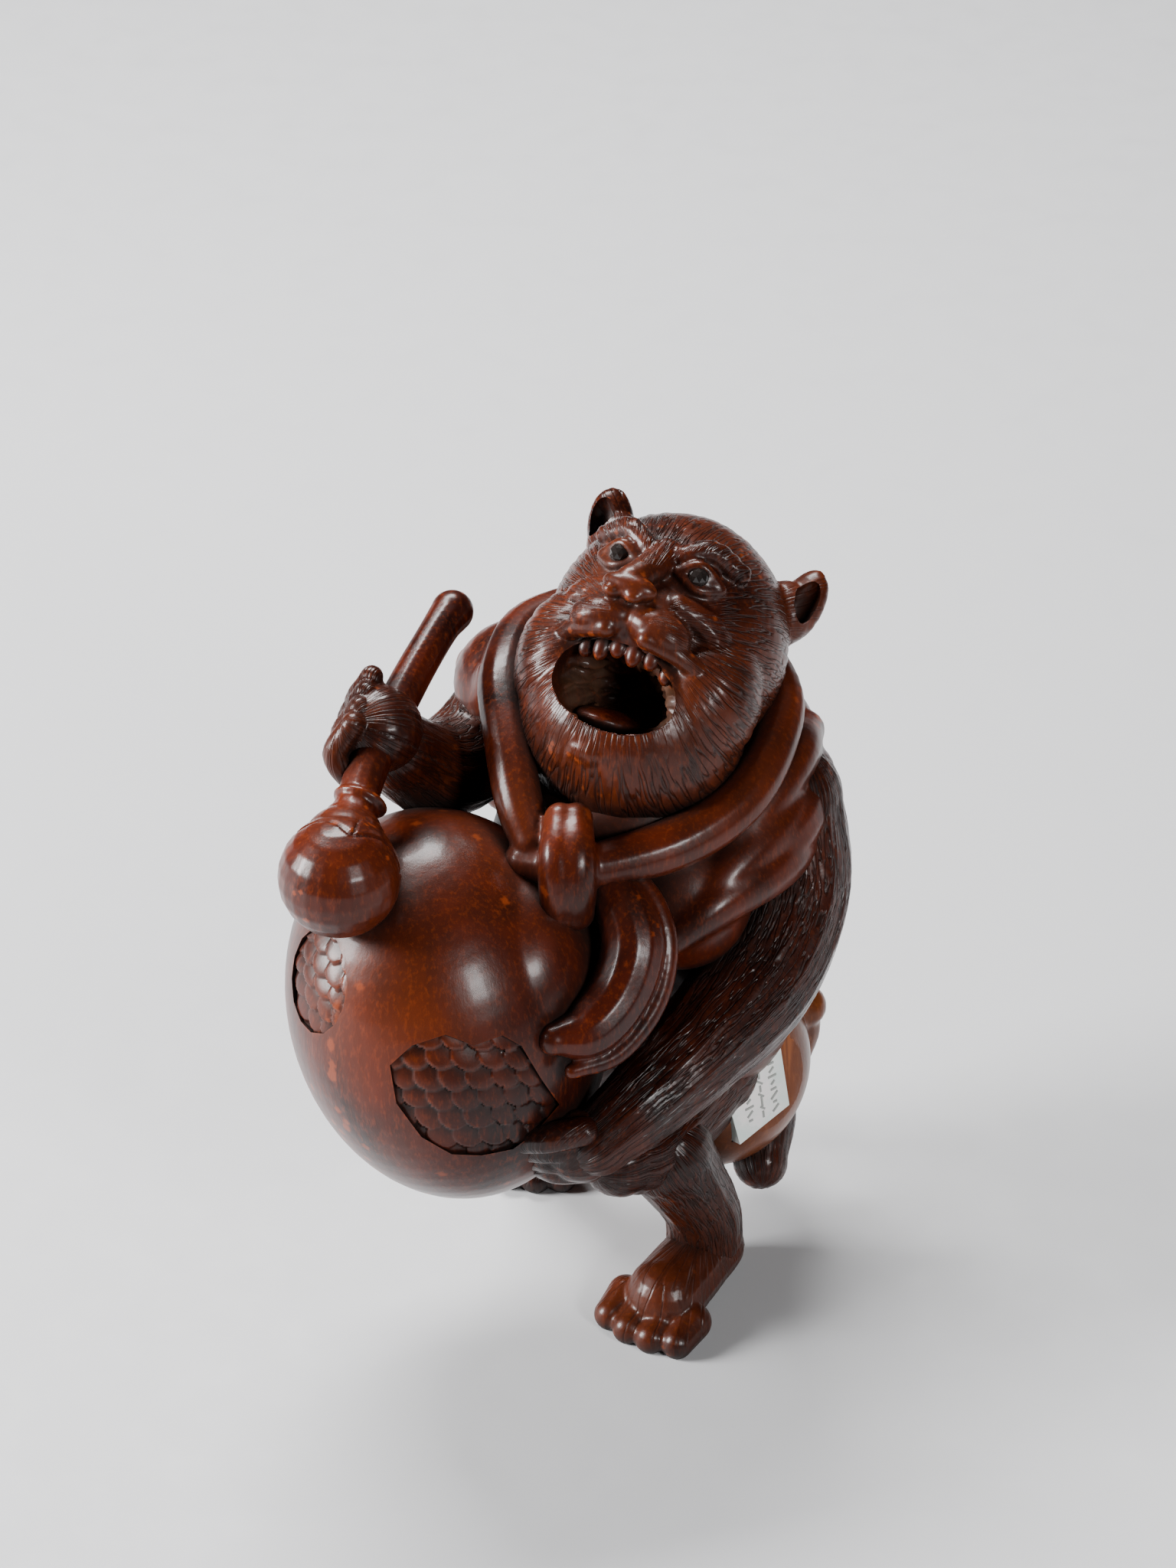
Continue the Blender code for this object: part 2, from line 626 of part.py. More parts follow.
def patch_bed(sight, outline):
    """A shallow bed for scales: the outline's prism, less the gong's own body below the bed."""
    depth = 2 * max(GONG_RADII) * UNIT
    axes = sight_axes(sight)
    middle = (Vector(GONG_CENTRE) + axes.col[2] * max(GONG_RADII)) * UNIT
    bed = slab("bed", axes, [Vector(point) * UNIT for point in outline], middle, depth)
    core = joined("core", [ball(GONG_CENTRE, [radius - PATCH_DEPTH for radius in GONG_RADII], GONG_LEAN)])
    return combined(bed, core, "DIFFERENCE")


def patch_scales(sight, outline):
    """Overlapping fish scales in oblique rows, each a flat cone that leans over the next."""
    clays = []
    middle = Vector((sum(x for x, _ in outline), sum(y for _, y in outline))) / len(outline)
    for row in range(-5, 6):
        for place in range(-5, 6):
            across = middle.x + (place + 0.5 * (row % 2)) * SCALE_PITCH
            up = middle.y + row * SCALE_PITCH * 0.8
            rim = [inside(outline, across + 0.4 * x, up + 0.4 * y) for x, y in ((1, 0), (-1, 0), (0, 1), (0, -1))]
            found = gong_skin(sight, across, up, PATCH_DEPTH * 0.95)
            if not all(rim) or not found:
                continue
            skin, out = found
            lean = sight_axes(sight) @ Vector((SCALE_LEAN, SCALE_LEAN / 2, 0))
            stand = Matrix.Translation(skin * UNIT) @ facing(out + lean).to_4x4()
            clay = bmesh.new()
            bmesh.ops.create_cone(
                clay, cap_ends=True, segments=6, radius1=0.66 * SCALE_PITCH * UNIT, radius2=0.34 * SCALE_PITCH * UNIT,
                depth=PATCH_DEPTH * 1.5 * UNIT, matrix=stand,
            )
            clays.append(clay)
    return clays


def cord_tunnel():
    """The two holes for the cord in the back, which meet inside."""
    half, radius = CORD_HOLE_SPACING / 2 / UNIT, CORD_HOLE_DIAMETER / 2 / UNIT
    x, y, z = CORD_HOLES_MIDDLE
    deep = y - CORD_HOLE_DEPTH / UNIT
    return joined("tunnel", [
        limb([
            (x - half, y + 3, z, radius), (x - half, y, z, radius), (x - half * 0.75, deep + 0.6, z, radius),
            (x, deep, z, radius), (x + half * 0.75, deep + 0.6, z, radius), (x + half, y, z, radius),
            (x + half, y + 3, z, radius),
        ], steps=2)
    ])


def gong_slit():
    """The sound slit low on the gong, with a round hole at each end."""
    bottom = Vector(GONG_CENTRE) + GONG_LEAN @ Vector((0, 0, -GONG_RADII[2]))
    centre = bottom * UNIT
    clays = [block(centre, (SLIT_LENGTH, SLIT_WIDTH, 2 * SLIT_DEPTH), GONG_LEAN)]
    for side in (-1, 1):
        end = centre + GONG_LEAN @ Vector((side * SLIT_LENGTH / 2, 0, 0))
        clays.append(pillar(end, GONG_LEAN.col[2], SLIT_END_DIAMETER, 2 * SLIT_END_DEPTH))
    return clays


def figure():
    """The whole carving as one solid: the body, then the head, hands and feet, whose facets are finer."""
    carving = fused(joined("carved_figure", [
        *torso(), *cape(), *scarf(), *left_arm(), *right_arm(), *mallet(), *gong(), *gong_handle(), *pouch(),
        *front_leg(), *back_leg(), *tail(),
    ]), BROAD_GRAIN)
    faceted(carving, BODY_TRIANGLES)
    face = faceted(fused(joined("face", head())), HEAD_TRIANGLES)
    hollows = fused(joined("hollows", [*mouth_hollow(), ear_hollow(-1), ear_hollow(1)]))
    combined(face, faceted(hollows, HOLLOW_TRIANGLES), "DIFFERENCE")
    mouth_parts = fused(joined("mouth_parts", [*tongue(), *teeth()]))
    combined(face, faceted(mouth_parts, MOUTH_TRIANGLES), "UNION")
    combined(carving, face, "UNION")
    for clays in (left_hand(), right_hand(), front_foot(), back_foot()):
        combined(carving, faceted(fused(joined("paw", clays)), PAW_TRIANGLES), "UNION")
    return carving


def stood_at_origin(pieces):
    """Moves the pieces so that the middle of the whole box's underside is the origin."""
    corners = np.array([vertex.co for made in pieces for vertex in made.data.vertices])
    low, high = corners.min(axis=0), corners.max(axis=0)
    shift = Vector((-(low[0] + high[0]) / 2, -(low[1] + high[1]) / 2, -low[2]))
    for made in pieces:
        made.data.transform(Matrix.Translation(shift))


def main():
    for old in list(bpy.data.objects):
        bpy.data.objects.remove(old)
    for name in ("netsuke", "cutters"):
        bpy.context.scene.collection.children.link(bpy.data.collections.new(name))

    carving = figure()
    combined(carving, tablet_facet(), "DIFFERENCE")
    back = TABLET_PROUD - TABLET_THICKNESS
    combined(carving, tablet("pocket", INLAY_GAP, 2 * TABLET_THICKNESS, back - INLAY_GAP), "DIFFERENCE")
    for side in (-1, 1):
        combined(carving, pupil("socket", side, PUPIL_DIAMETER + 2 * INLAY_GAP), "DIFFERENCE")
    combined(carving, cord_tunnel(), "DIFFERENCE")
    for sight, outline in ((FRONT_SIGHT, FRONT_PATCH), (SIDE_SIGHT, SIDE_PATCH)):
        combined(carving, patch_bed(sight, outline), "DIFFERENCE")
        combined(carving, joined("scales", patch_scales(sight, outline)), "UNION")
    for clay in gong_slit():
        combined(carving, joined("slit", [clay]), "DIFFERENCE")
    floor = block((0, 0, -HEIGHT / 2), (2 * HEIGHT, 2 * HEIGHT, HEIGHT), Matrix.Identity(3))
    combined(carving, joined("floor", [floor]), "DIFFERENCE")
    filled(carving)

    inlay = tablet("signature_tablet", 0, TABLET_PROUD, back)
    pupils = [pupil("pupil_right", -1, PUPIL_DIAMETER), pupil("pupil_left", 1, PUPIL_DIAMETER)]
    stood_at_origin([carving, inlay, *pupils])
    shown(carving, material("stained_boxwood", (0.16, 0.035, 0.018), 0.3))
    shown(inlay, material("mother_of_pearl", (0.8, 0.84, 0.82), 0.2))
    bead = material("dark_horn", (0.02, 0.015, 0.012), 0.1)
    for made in pupils:
        shown(made, bead)


main()
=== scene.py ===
"""Looks of the netsuke: a tanuki that strides along, chanting, with a slit gong and a mallet.

The carving is built again from the same lumps as its solid, in the same carving units, but as finer skins:
one for each part of the figure, so that the creases between them are sharp. Fur is cut into the skins, along
each limb and back over the head.
"""
import math

import bmesh
import bpy
import numpy as np
from mathutils import Matrix, Vector


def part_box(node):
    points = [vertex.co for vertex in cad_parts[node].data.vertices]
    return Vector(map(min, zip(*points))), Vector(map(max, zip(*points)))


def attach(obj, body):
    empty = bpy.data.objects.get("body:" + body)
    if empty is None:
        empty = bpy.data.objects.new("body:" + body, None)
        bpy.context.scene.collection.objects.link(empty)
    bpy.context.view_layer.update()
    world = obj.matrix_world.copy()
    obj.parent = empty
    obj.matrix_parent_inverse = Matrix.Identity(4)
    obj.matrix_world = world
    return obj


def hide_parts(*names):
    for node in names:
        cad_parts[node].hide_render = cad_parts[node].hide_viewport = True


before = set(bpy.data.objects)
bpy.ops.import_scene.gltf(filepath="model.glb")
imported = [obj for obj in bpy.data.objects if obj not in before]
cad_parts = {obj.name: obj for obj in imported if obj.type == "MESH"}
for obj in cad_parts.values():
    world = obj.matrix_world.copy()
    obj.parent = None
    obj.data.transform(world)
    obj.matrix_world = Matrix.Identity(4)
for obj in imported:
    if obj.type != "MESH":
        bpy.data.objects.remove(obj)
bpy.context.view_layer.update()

# Driving sizes, as in the part's source
HEIGHT = 0.0455
INLAY_GAP = 0.00025
TABLET_THICKNESS = 0.0009
TABLET_PROUD = 0.00015
CORD_HOLE_DIAMETER = 0.0026
CORD_HOLE_SPACING = 0.0070
CORD_HOLE_DEPTH = 0.0042
SLIT_WIDTH = 0.0009
SLIT_LENGTH = 0.0110
SLIT_DEPTH = 0.0045
SLIT_END_DIAMETER = 0.0019
SLIT_END_DEPTH = 0.0053
UNITS_IN_HEIGHT = 45.5
UNIT = HEIGHT / UNITS_IN_HEIGHT
WELD = 1e-7

# The head is thrown back, turned to its right and rolled to its left
HEAD_CENTRE = (0.7, 14.9, 37.2)
HEAD_BACK = 43
HEAD_TURN = 14
HEAD_ROLL = 19
HEAD_AXES = (
    Matrix.Rotation(math.radians(-HEAD_BACK), 3, "X")
    @ Matrix.Rotation(math.radians(-HEAD_TURN), 3, "Z")
    @ Matrix.Rotation(math.radians(HEAD_ROLL), 3, "Y")
)

GONG_CENTRE = (-10.9, 4.8, 21.4)
GONG_RADII = (8.8, 9.6, 11.6)


def turned(x=0, y=0, z=0):
    """Rotation by degrees about X, then Y, then Z."""
    return (
        Matrix.Rotation(math.radians(z), 3, "Z")
        @ Matrix.Rotation(math.radians(y), 3, "Y")
        @ Matrix.Rotation(math.radians(x), 3, "X")
    )


def facing(direction):
    """Rotation that takes +Z to the direction."""
    return Vector(direction).to_track_quat("Z", "Y").to_matrix()


GONG_LEAN = turned(y=-12)
EAR_LEAN = {side: turned(y=side * 16, z=side * -25) for side in (-1, 1)}

# The tablet lies in a flat facet of the pouch. Its outline is in that plane, anticlockwise seen from outside
TABLET_MIDDLE = (7.1, 10.2, 10.9)
TABLET_OUT = Vector((0.62, -0.76, 0.2)).normalized()
TABLET_ACROSS = Vector((0, 0, 1)).cross(TABLET_OUT).normalized()
TABLET_AXES = Matrix((TABLET_ACROSS, TABLET_OUT.cross(TABLET_ACROSS), TABLET_OUT)).transposed()
TABLET_CORNERS = ((-2.45, -2.45), (1.45, -1.6), (1.3, 3.3), (-3.0, 1.5))
POUCH_DEPTH = 4.7
FACET_SINK = 0.6
FACET_REACH = 3.7
FACET_CUT = 1.6
POUCH_CENTRE = Vector(TABLET_MIDDLE) - TABLET_OUT * (POUCH_DEPTH - FACET_SINK)
POUCH_TURN = math.degrees(math.atan2(TABLET_OUT.x, -TABLET_OUT.y))

# Each bed of scales is cut along a line of sight: places are across it and up it, from the gong's centre
PATCH_DEPTH = 0.45
SCALE_PITCH = 1.35
FRONT_SIGHT = (0, 0.82, -0.57)
FRONT_PATCH = (
    (-2.5, -4.9), (-1.2, -6.8), (0.4, -7.8), (2.0, -7.9), (3.7, -7.6), (4.8, -6.8), (6.2, -5.2), (5.2, -3.6),
    (4.2, -1.8), (3.2, -1.2), (1.7, -1.7), (0.2, -1.1), (-1.6, -1.7), (-2.8, -2.8),
)
SIDE_SIGHT = (0.74, 0.5, -0.46)
SIDE_PATCH_SIDES = 14
SIDE_PATCH_RADII = (2.7, 2.9)
SIDE_PATCH = tuple(
    (SIDE_PATCH_RADII[0] * math.cos(turn), 0.8 + SIDE_PATCH_RADII[1] * math.sin(turn))
    for turn in np.linspace(0, math.tau, SIDE_PATCH_SIDES, endpoint=False)
)
EYE = (2.3, 6.05, 4.6)
TEETH = 6
TOOTH_PITCH = 0.95
CORD_HOLES_MIDDLE = (1.2, 23.6, 22.5)
CAPE_FOLDS = 7
CAPE_HALF_WIDTH = 8.5
FOLD_DEPTH = 5.7
FOLD_SPREAD = 1.15
HEM_DEPTH = 5.6
HEM_SPREAD = 1.25
MALLET_BULB = (-16.3, 0.6, 33.2)
MALLET_BULB_RADIUS = 3.3
MALLET_RUN = Vector((5.2, 14.8, 7.2)).normalized()
MALLET_RINGS_FROM = Vector((-17.0, -0.1, 32.8))

# How finely the clays are faceted before they are fused
SMALL_RADIUS = 4
SMALL_BALL_SIDES = 24
LARGE_BALL_SIDES = 64
PILLAR_SIDES = 16


def on_head(right, front, up):
    """A place given along the head's own axes, from its centre."""
    return Vector(HEAD_CENTRE) + HEAD_AXES @ Vector((right, -front, up))


def ball(centre, radii, turn=None):
    turn = turn or Matrix.Identity(3)
    clay = bmesh.new()
    size = Matrix.Diagonal((*[radius * UNIT for radius in radii], 1))
    place = Matrix.Translation(Vector(centre) * UNIT) @ turn.to_4x4() @ size
    around = SMALL_BALL_SIDES if max(radii) < SMALL_RADIUS else LARGE_BALL_SIDES
    bmesh.ops.create_uvsphere(clay, u_segments=around, v_segments=around // 2, radius=1, matrix=place)
    return clay


def head_ball(right, front, up, radii, turn=None):
    return ball(on_head(right, front, up), radii, HEAD_AXES @ (turn or Matrix.Identity(3)))


def flowing(points, steps=6):
    """A smooth run through points of any size, as a Catmull-Rom curve."""
    knots = [np.array(point, float) for point in points]
    knots = [2 * knots[0] - knots[1], *knots, 2 * knots[-1] - knots[-2]]
    run = []
    for a, b, c, d in zip(knots, knots[1:], knots[2:], knots[3:]):
        for step in range(steps):
            t = step / steps
            bend, twist = 2 * a - 5 * b + 4 * c - d, 3 * b - a - 3 * c + d
            run.append(0.5 * (2 * b + (c - a) * t + bend * t**2 + twist * t**3))
    run.append(knots[-2])
    return run


def limb(points, steps=6):
    """A round-ended tube through (x, y, z, radius) points."""
    run = flowing(points, steps)
    curve = bpy.data.curves.new("limb", "CURVE")
    curve.dimensions = "3D"
    curve.bevel_depth = UNIT
    curve.bevel_resolution = 4
    curve.use_fill_caps = True
    spline = curve.splines.new("POLY")
    spline.points.add(len(run) - 1)
    for point, (x, y, z, radius) in zip(spline.points, run):
        point.co = (x * UNIT, y * UNIT, z * UNIT, 1)
        point.radius = radius
    guide = bpy.data.objects.new("limb", curve)
    bpy.context.scene.collection.objects.link(guide)
    mesh = bpy.data.meshes.new_from_object(guide.evaluated_get(bpy.context.evaluated_depsgraph_get()))
    bpy.data.objects.remove(guide)
    bpy.data.curves.remove(curve)
    clay = bmesh.new()
    clay.from_mesh(mesh)
    bpy.data.meshes.remove(mesh)
    bmesh.ops.remove_doubles(clay, verts=clay.verts, dist=WELD)
    for x, y, z, radius in (run[0], run[-1]):
        end = ball((x, y, z), (radius, radius, radius))
        mesh = bpy.data.meshes.new("end")
        end.to_mesh(mesh)
        end.free()
        clay.from_mesh(mesh)
        bpy.data.meshes.remove(mesh)
    return clay


def head_limb(points):
    return limb([(*on_head(*point[:3]), point[3]) for point in points])


def joined(name, clays):
    """One object that holds every lump of clay, each still a body of its own."""
    mesh = bpy.data.meshes.new(name)
    whole = bmesh.new()
    for clay in clays:
        clay.to_mesh(mesh)
        clay.free()
        whole.from_mesh(mesh)
    bmesh.ops.recalc_face_normals(whole, faces=whole.faces)
    whole.to_mesh(mesh)
    whole.free()
    made = bpy.data.objects.new(name, mesh)
    bpy.context.scene.collection.objects.link(made)
    return made


def applied(made):
    """The object with its modifiers turned into mesh."""
    graph = bpy.context.evaluated_depsgraph_get()
    mesh = bpy.data.meshes.new_from_object(made.evaluated_get(graph))
    made.modifiers.clear()
    old = made.data
    made.data = mesh
    bpy.data.meshes.remove(old)
    return made


def fused(made, grain, soften=2):
    """Overlapping lumps made one skin, with this voxel size in carving units."""
    remesh = made.modifiers.new("fuse", "REMESH")
    remesh.mode = "VOXEL"
    remesh.voxel_size = grain * UNIT
    smooth = made.modifiers.new("soften", "SMOOTH")
    smooth.factor = 0.5
    smooth.iterations = soften
    return applied(made)


def combined(made, other, operation):
    """A Boolean, after which the other object is gone."""
    boolean = made.modifiers.new("combine", "BOOLEAN")
    boolean.operation = operation
    boolean.object = other
    boolean.solver = "MANIFOLD"
    applied(made)
    bpy.data.objects.remove(other)
    return made


def head():
    """Skull, jowls, muzzle, lips, chin, brows and lidded eyes, along the head's own axes."""
    clays = [
        head_ball(0, -0.3, 1.0, (6.8, 7.2, 7.6)),
        head_ball(0.1, 1.8, -3.5, (6.4, 6.2, 5.9)),
        head_ball(-0.3, 4.7, 1.5, (3.7, 3.3, 2.7)),
        head_ball(-0.6, 8.1, 2.8, (1.6, 0.85, 0.75), turned(x=-20)),
        head_ball(-1.45, 8.5, 2.35, (0.55, 0.45, 0.4)),
        head_ball(-0.15, 8.5, 2.35, (0.55, 0.45, 0.4)),
        head_limb([(0.1, 5.6, 5.4, 0.9), (-0.2, 6.7, 4.3, 0.9), (-0.7, 7.8, 3.2, 0.9)]),
        head_ball(-1.6, 7.1, 1.1, (2.1, 1.5, 1.2), turned(y=-14)),
        head_ball(1.3, 7.1, 1.1, (2.1, 1.5, 1.2), turned(y=14)),
        head_ball(-0.5, 4.8, -4.9, (3.3, 2.6, 1.9)),
        head_ball(-0.2, 5.9, -6.0, (1.9, 1.6, 1.2)),
        head_limb([
            (1.2, 8.0, 0.4, 0.6), (3.0, 7.0, 0.1, 0.6), (4.2, 5.8, -0.6, 0.6), (4.3, 5.3, -2.2, 0.55),
            (3.6, 5.4, -4.2, 0.5), (2.0, 6.0, -5.5, 0.55), (-0.1, 6.3, -5.9, 0.6), (-2.2, 6.0, -5.6, 0.55),
            (-3.7, 5.4, -4.4, 0.5), (-4.4, 5.1, -2.6, 0.55), (-4.2, 5.6, -0.8, 0.6), (-3.0, 7.0, 0, 0.6),
            (-1.2, 7.9, 0.4, 0.6),
        ]),
    ]
    for side in (-1, 1):
        clays += [
            head_ball(side * 3.9, 2.8, -1.4, (3.1, 3.9, 4.2)),
            head_ball(side * 2.3, 5.3, 4.6, (1.05, 0.95, 0.85)),
            head_limb([
                (side * 1.0, 5.9, 5.5, 0.6), (side * 2.4, 5.3, 6.2, 0.7), (side * 4.0, 4.1, 5.6, 0.6),
            ]),
            head_limb([
                (side * 1.2, 6.2, 4.6, 0.3), (side * 2.3, 6.2, 5.2, 0.3), (side * 3.5, 5.2, 4.4, 0.3),
            ]),
            head_limb([
                (side * 1.2, 6.2, 4.5, 0.3), (side * 2.4, 6.0, 3.95, 0.35), (side * 3.5, 5.2, 4.3, 0.3),
            ]),
            head_limb([
                (side * 1.8, 6.6, 2.7, 0.7), (side * 3.6, 5.2, 2.0, 1.0), (side * 4.6, 4.0, 0.2, 1.0),
            ]),
            head_ball(side * 5.1, -2.6, 5.4 - 0.5 * side, (1.8, 1.6, 2.0), turned(y=side * 20)),
            head_ball(side * 5.9, -3.0, 6.2 - 0.6 * side, (1.4, 1.0, 2.4), EAR_LEAN[side]),
        ]
    return clays


def ear_middle(side):
    """The middle of an ear's hollow, along the head's own axes."""
    return side * 6.2, -2.0, 6.2 - 0.6 * side


def ear_hollow(side):
    return head_ball(*ear_middle(side), (0.8, 0.75, 1.65), EAR_LEAN[side])


def mouth_hollow():
    return [
        head_ball(0.0, 6.3, -2.6, (3.7, 3.2, 2.6), turned(y=8)),
        head_ball(0.0, 3.8, -2.4, (2.7, 3.0, 2.0)),
    ]


def tongue():
    return [head_ball(-0.5, 4.0, -4.1, (1.9, 2.6, 0.7), turned(x=6))]


def teeth():
    """The upper row, bowed like the lip. Every other tooth is a little longer."""
    clays = []
    for place in range(TEETH):
        off = (place - (TEETH - 1) / 2) * TOOTH_PITCH
        drop = 0.12 * (place % 2)
        front, up = 6.9 - 0.13 * off**2, -0.3 - 0.07 * off**2 - drop
        clays.append(head_ball(off, front, up, (0.47, 0.4, 0.66 + drop)))
    return clays


def torso():
    return [
        ball((1.4, 14.6, 24.0), (7.6, 7.2, 10.8)),
        ball((-0.8, 12.0, 30.4), (6.2, 6.6, 5.0)),
        ball((3.0, 13.2, 16.4), (6.0, 6.0, 7.0)),
        ball((-2.2, 12.6, 26.0), (6.5, 6.0, 7.0)),
        ball((-0.6, 9.6, 30.8), (5.2, 4.4, 2.9)),
        ball((2.0, 8.2, 26.6), (4.0, 4.2, 4.4)),
    ]


def cape():
    """Cloth over shoulders and back, with its folds and the pointed flap on the left upper arm."""
    clays = [
        ball((0.9, 17.8, 30.0), (9.0, 5.4, 6.2)),
        ball((1.2, 17.4, 24.5), (8.6, 5.8, 10.2)),
        ball((1.2, 16.6, 20.2), (9.0, 6.3, 7.2)),
        ball((-6.8, 17.0, 34.6), (3.9, 3.6, 3.7)),
        ball((7.2, 14.4, 29.8), (3.0, 3.8, 4.0)),
        limb([(1.5, 3.8, 26.5, 0.8), (3.9, 5.6, 27.9, 1.5), (6.9, 9.0, 28.2, 1.9), (9.2, 13.4, 27.6, 1.4)]),
        limb([(2.3, 4.8, 27.6, 0.8), (4.8, 6.9, 29.3, 1.4), (7.3, 10.2, 30.2, 1.6), (9.2, 15.0, 30.0, 1.3)]),
        limb([(3.4, 6.6, 29.2, 0.8), (6.0, 9.0, 31.2, 1.2), (8.2, 12.6, 32.4, 1.3), (9.0, 17.0, 31.4, 1.2)]),
        limb([(2.6, 5.2, 27.1, 0.9), (5.0, 7.6, 28.4, 1.9), (7.4, 11.0, 29.2, 2.4), (8.6, 15.0, 29.6, 2.2)]),
        limb([
            (9.0, 12.4, 30.4, 1.0), (9.8, 14.6, 25.4, 1.2), (9.1, 15.6, 19.8, 1.1), (7.6, 16.8, 14.8, 1.0),
        ]),
        limb([
            (-8.2, 14.6, 36.6, 1.2), (-8.6, 15.6, 33.4, 1.5), (-7.4, 14.6, 30.0, 1.5),
            (-6.2, 12.6, 27.6, 1.2),
        ]),
        limb([(-9.4, 18.2, 35.0, 1.2), (-9.0, 19.4, 30.4, 1.4), (-8.0, 19.6, 25.4, 1.2)]),
    ]
    for fold in range(CAPE_FOLDS):
        share = fold / (CAPE_FOLDS - 1) * 2 - 1
        turn = share * FOLD_SPREAD
        side, deep = CAPE_HALF_WIDTH * math.sin(turn), FOLD_DEPTH * math.cos(turn)
        clays.append(
            limb([
                (1.2 + 0.75 * side, 17.0 + 0.85 * deep, 33.0, 0.7),
                (1.2 + 0.95 * side, 17.2 + deep, 27.0, 0.9),
                (1.2 + side, 16.8 + deep, 20.6, 1.1),
                (1.4 + 1.02 * side, 15.6 + deep, 14.8 + 0.8 * abs(share), 1.05),
            ])
        )
    hem = []
    for turn in np.linspace(-HEM_SPREAD, HEM_SPREAD, CAPE_FOLDS):
        side, deep = CAPE_HALF_WIDTH * math.sin(turn), HEM_DEPTH * math.cos(turn)
        hem.append((1.4 + side, 15.4 + deep, 14.4 + 0.8 * abs(turn), 0.9))
    return [*clays, limb(hem)]


def scarf():
    """The thick roll round the neck and its flat knot at the throat."""
    return [
        limb([
            (-6.2, 5.4, 32.0, 1.15), (-6.9, 7.2, 33.4, 1.35), (-7.5, 10.4, 35.4, 1.4),
            (-7.8, 14.4, 36.9, 1.4), (-6.2, 19.4, 37.0, 1.4), (-1.0, 22.4, 36.4, 1.4),
            (4.6, 20.6, 35.8, 1.4), (7.3, 15.6, 35.2, 1.4), (6.9, 11.6, 34.2, 1.45),
            (5.0, 8.1, 32.8, 1.5), (1.9, 5.7, 31.9, 1.5), (-1.6, 4.3, 31.5, 1.35),
            (-4.0, 3.9, 31.4, 1.2), (-6.6, 4.9, 31.0, 1.15),
        ]),
        limb([
            (-3.75, 5.3, 33.6, 0.9), (-3.8, 3.3, 32.7, 1.1), (-3.8, 2.6, 30.9, 1.15), (-3.8, 2.7, 29.3, 1.05),
        ]),
        limb([
            (-4.65, 5.3, 33.6, 0.9), (-4.75, 3.3, 32.6, 1.1), (-4.7, 2.6, 30.9, 1.15),
            (-4.7, 2.7, 29.4, 1.05),
        ]),
    ]


# Centrelines with radii of the furred limbs, along which their fur lies
LEFT_ARM = (
    (8.0, 13.6, 29.2, 3.2), (8.2, 11.8, 24.8, 3.6), (6.4, 7.6, 21.4, 3.5), (2.9, 2.9, 19.8, 2.9),
    (-0.3, -0.3, 18.4, 2.4), (-2.6, -1.7, 17.0, 2.0),
)
RIGHT_ARM = (
    (-6.6, 17.2, 34.2, 3.2), (-9.2, 15.6, 31.4, 3.1), (-11.6, 12.5, 31.8, 2.8), (-13.7, 10.1, 34.8, 2.4),
)
FRONT_THIGH = (
    (3.0, 11.5, 12.0, 4.0), (1.2, 7.4, 11.4, 3.2), (-0.4, 4.4, 11.4, 2.7), (-1.4, 3.2, 11.6, 2.2),
)
FRONT_SHIN = (
    (1.2, 5.4, 10.4, 2.9), (2.4, 6.0, 7.8, 2.5), (3.4, 6.6, 5.2, 2.3), (3.6, 6.9, 3.0, 2.3),
)
BACK_LEG = (
    (0.6, 15.6, 14.6, 4.6), (-2.9, 15.6, 10.6, 3.8), (-4.8, 16.8, 7.0, 2.8), (-5.7, 19.4, 4.0, 2.2),
)
TAIL = (
    (4.0, 18.6, 15.0, 2.6), (5.6, 17.6, 10.0, 3.0), (6.8, 14.8, 5.8, 2.5), (7.0, 12.2, 3.9, 1.7),
)


def left_hand():
    """The hand that holds the gong from below, its fingers one above the other."""
    clays = [ball((-3.6, -1.8, 16.7), (2.1, 1.5, 2.3))]
    for row in range(4):
        clays.append(
            limb([
                (-3.4 + 0.1 * row, -2.7 + 0.4 * row, 18.5 - 1.2 * row, 0.85),
                (-5.2 + 0.15 * row, -3.0 + 0.55 * row, 18.3 - 1.2 * row, 0.88),
                (-6.6 + 0.35 * row, -2.6 + 0.65 * row, 17.8 - 1.15 * row, 0.78),
            ])
        )
    return clays


def right_hand():
    """The fist, closed round the mallet's handle."""
    clays = [ball((-14.4, 8.9, 37.0), (2.4, 2.4, 2.5))]
    for row in range(4):
        clays.append(
            limb([
                (-15.7 + 0.3 * row, 7.2 + 1.05 * row, 38.5 + 0.3 * row, 0.68),
                (-16.7 + 0.35 * row, 6.6 + 1.05 * row, 36.9 + 0.35 * row, 0.74),
                (-15.8 + 0.35 * row, 6.4 + 1.0 * row, 35.2 + 0.4 * row, 0.7),
            ])
        )
    return clays


def mallet():
    """A bulb-headed beater: the bulb, its two-ring neck and the handle up through the fist."""
    clays = [
        ball(MALLET_BULB, [MALLET_BULB_RADIUS] * 3),
        limb([
            (-16.1, 2.1, 34.0, 2.3), (-15.6, 4.0, 34.9, 1.3), (-15.0, 6.4, 36.0, 1.15),
            (-13.2, 10.6, 38.1, 1.1), (-11.4, 14.2, 39.7, 1.05), (-10.6, 15.8, 40.1, 1.2),
        ]),
    ]
    for along in (4.5, 5.6):
        clays.append(ball(MALLET_RINGS_FROM + MALLET_RUN * along, (1.55, 1.55, 0.45), facing(MALLET_RUN)))
    return clays


def gong():
    """The round slit gong with its two swelling lobes."""
    return [
        ball(GONG_CENTRE, GONG_RADII, GONG_LEAN),
        ball((-7.2, 4.8, 24.6), (5.2, 6.8, 6.4)),
    ]


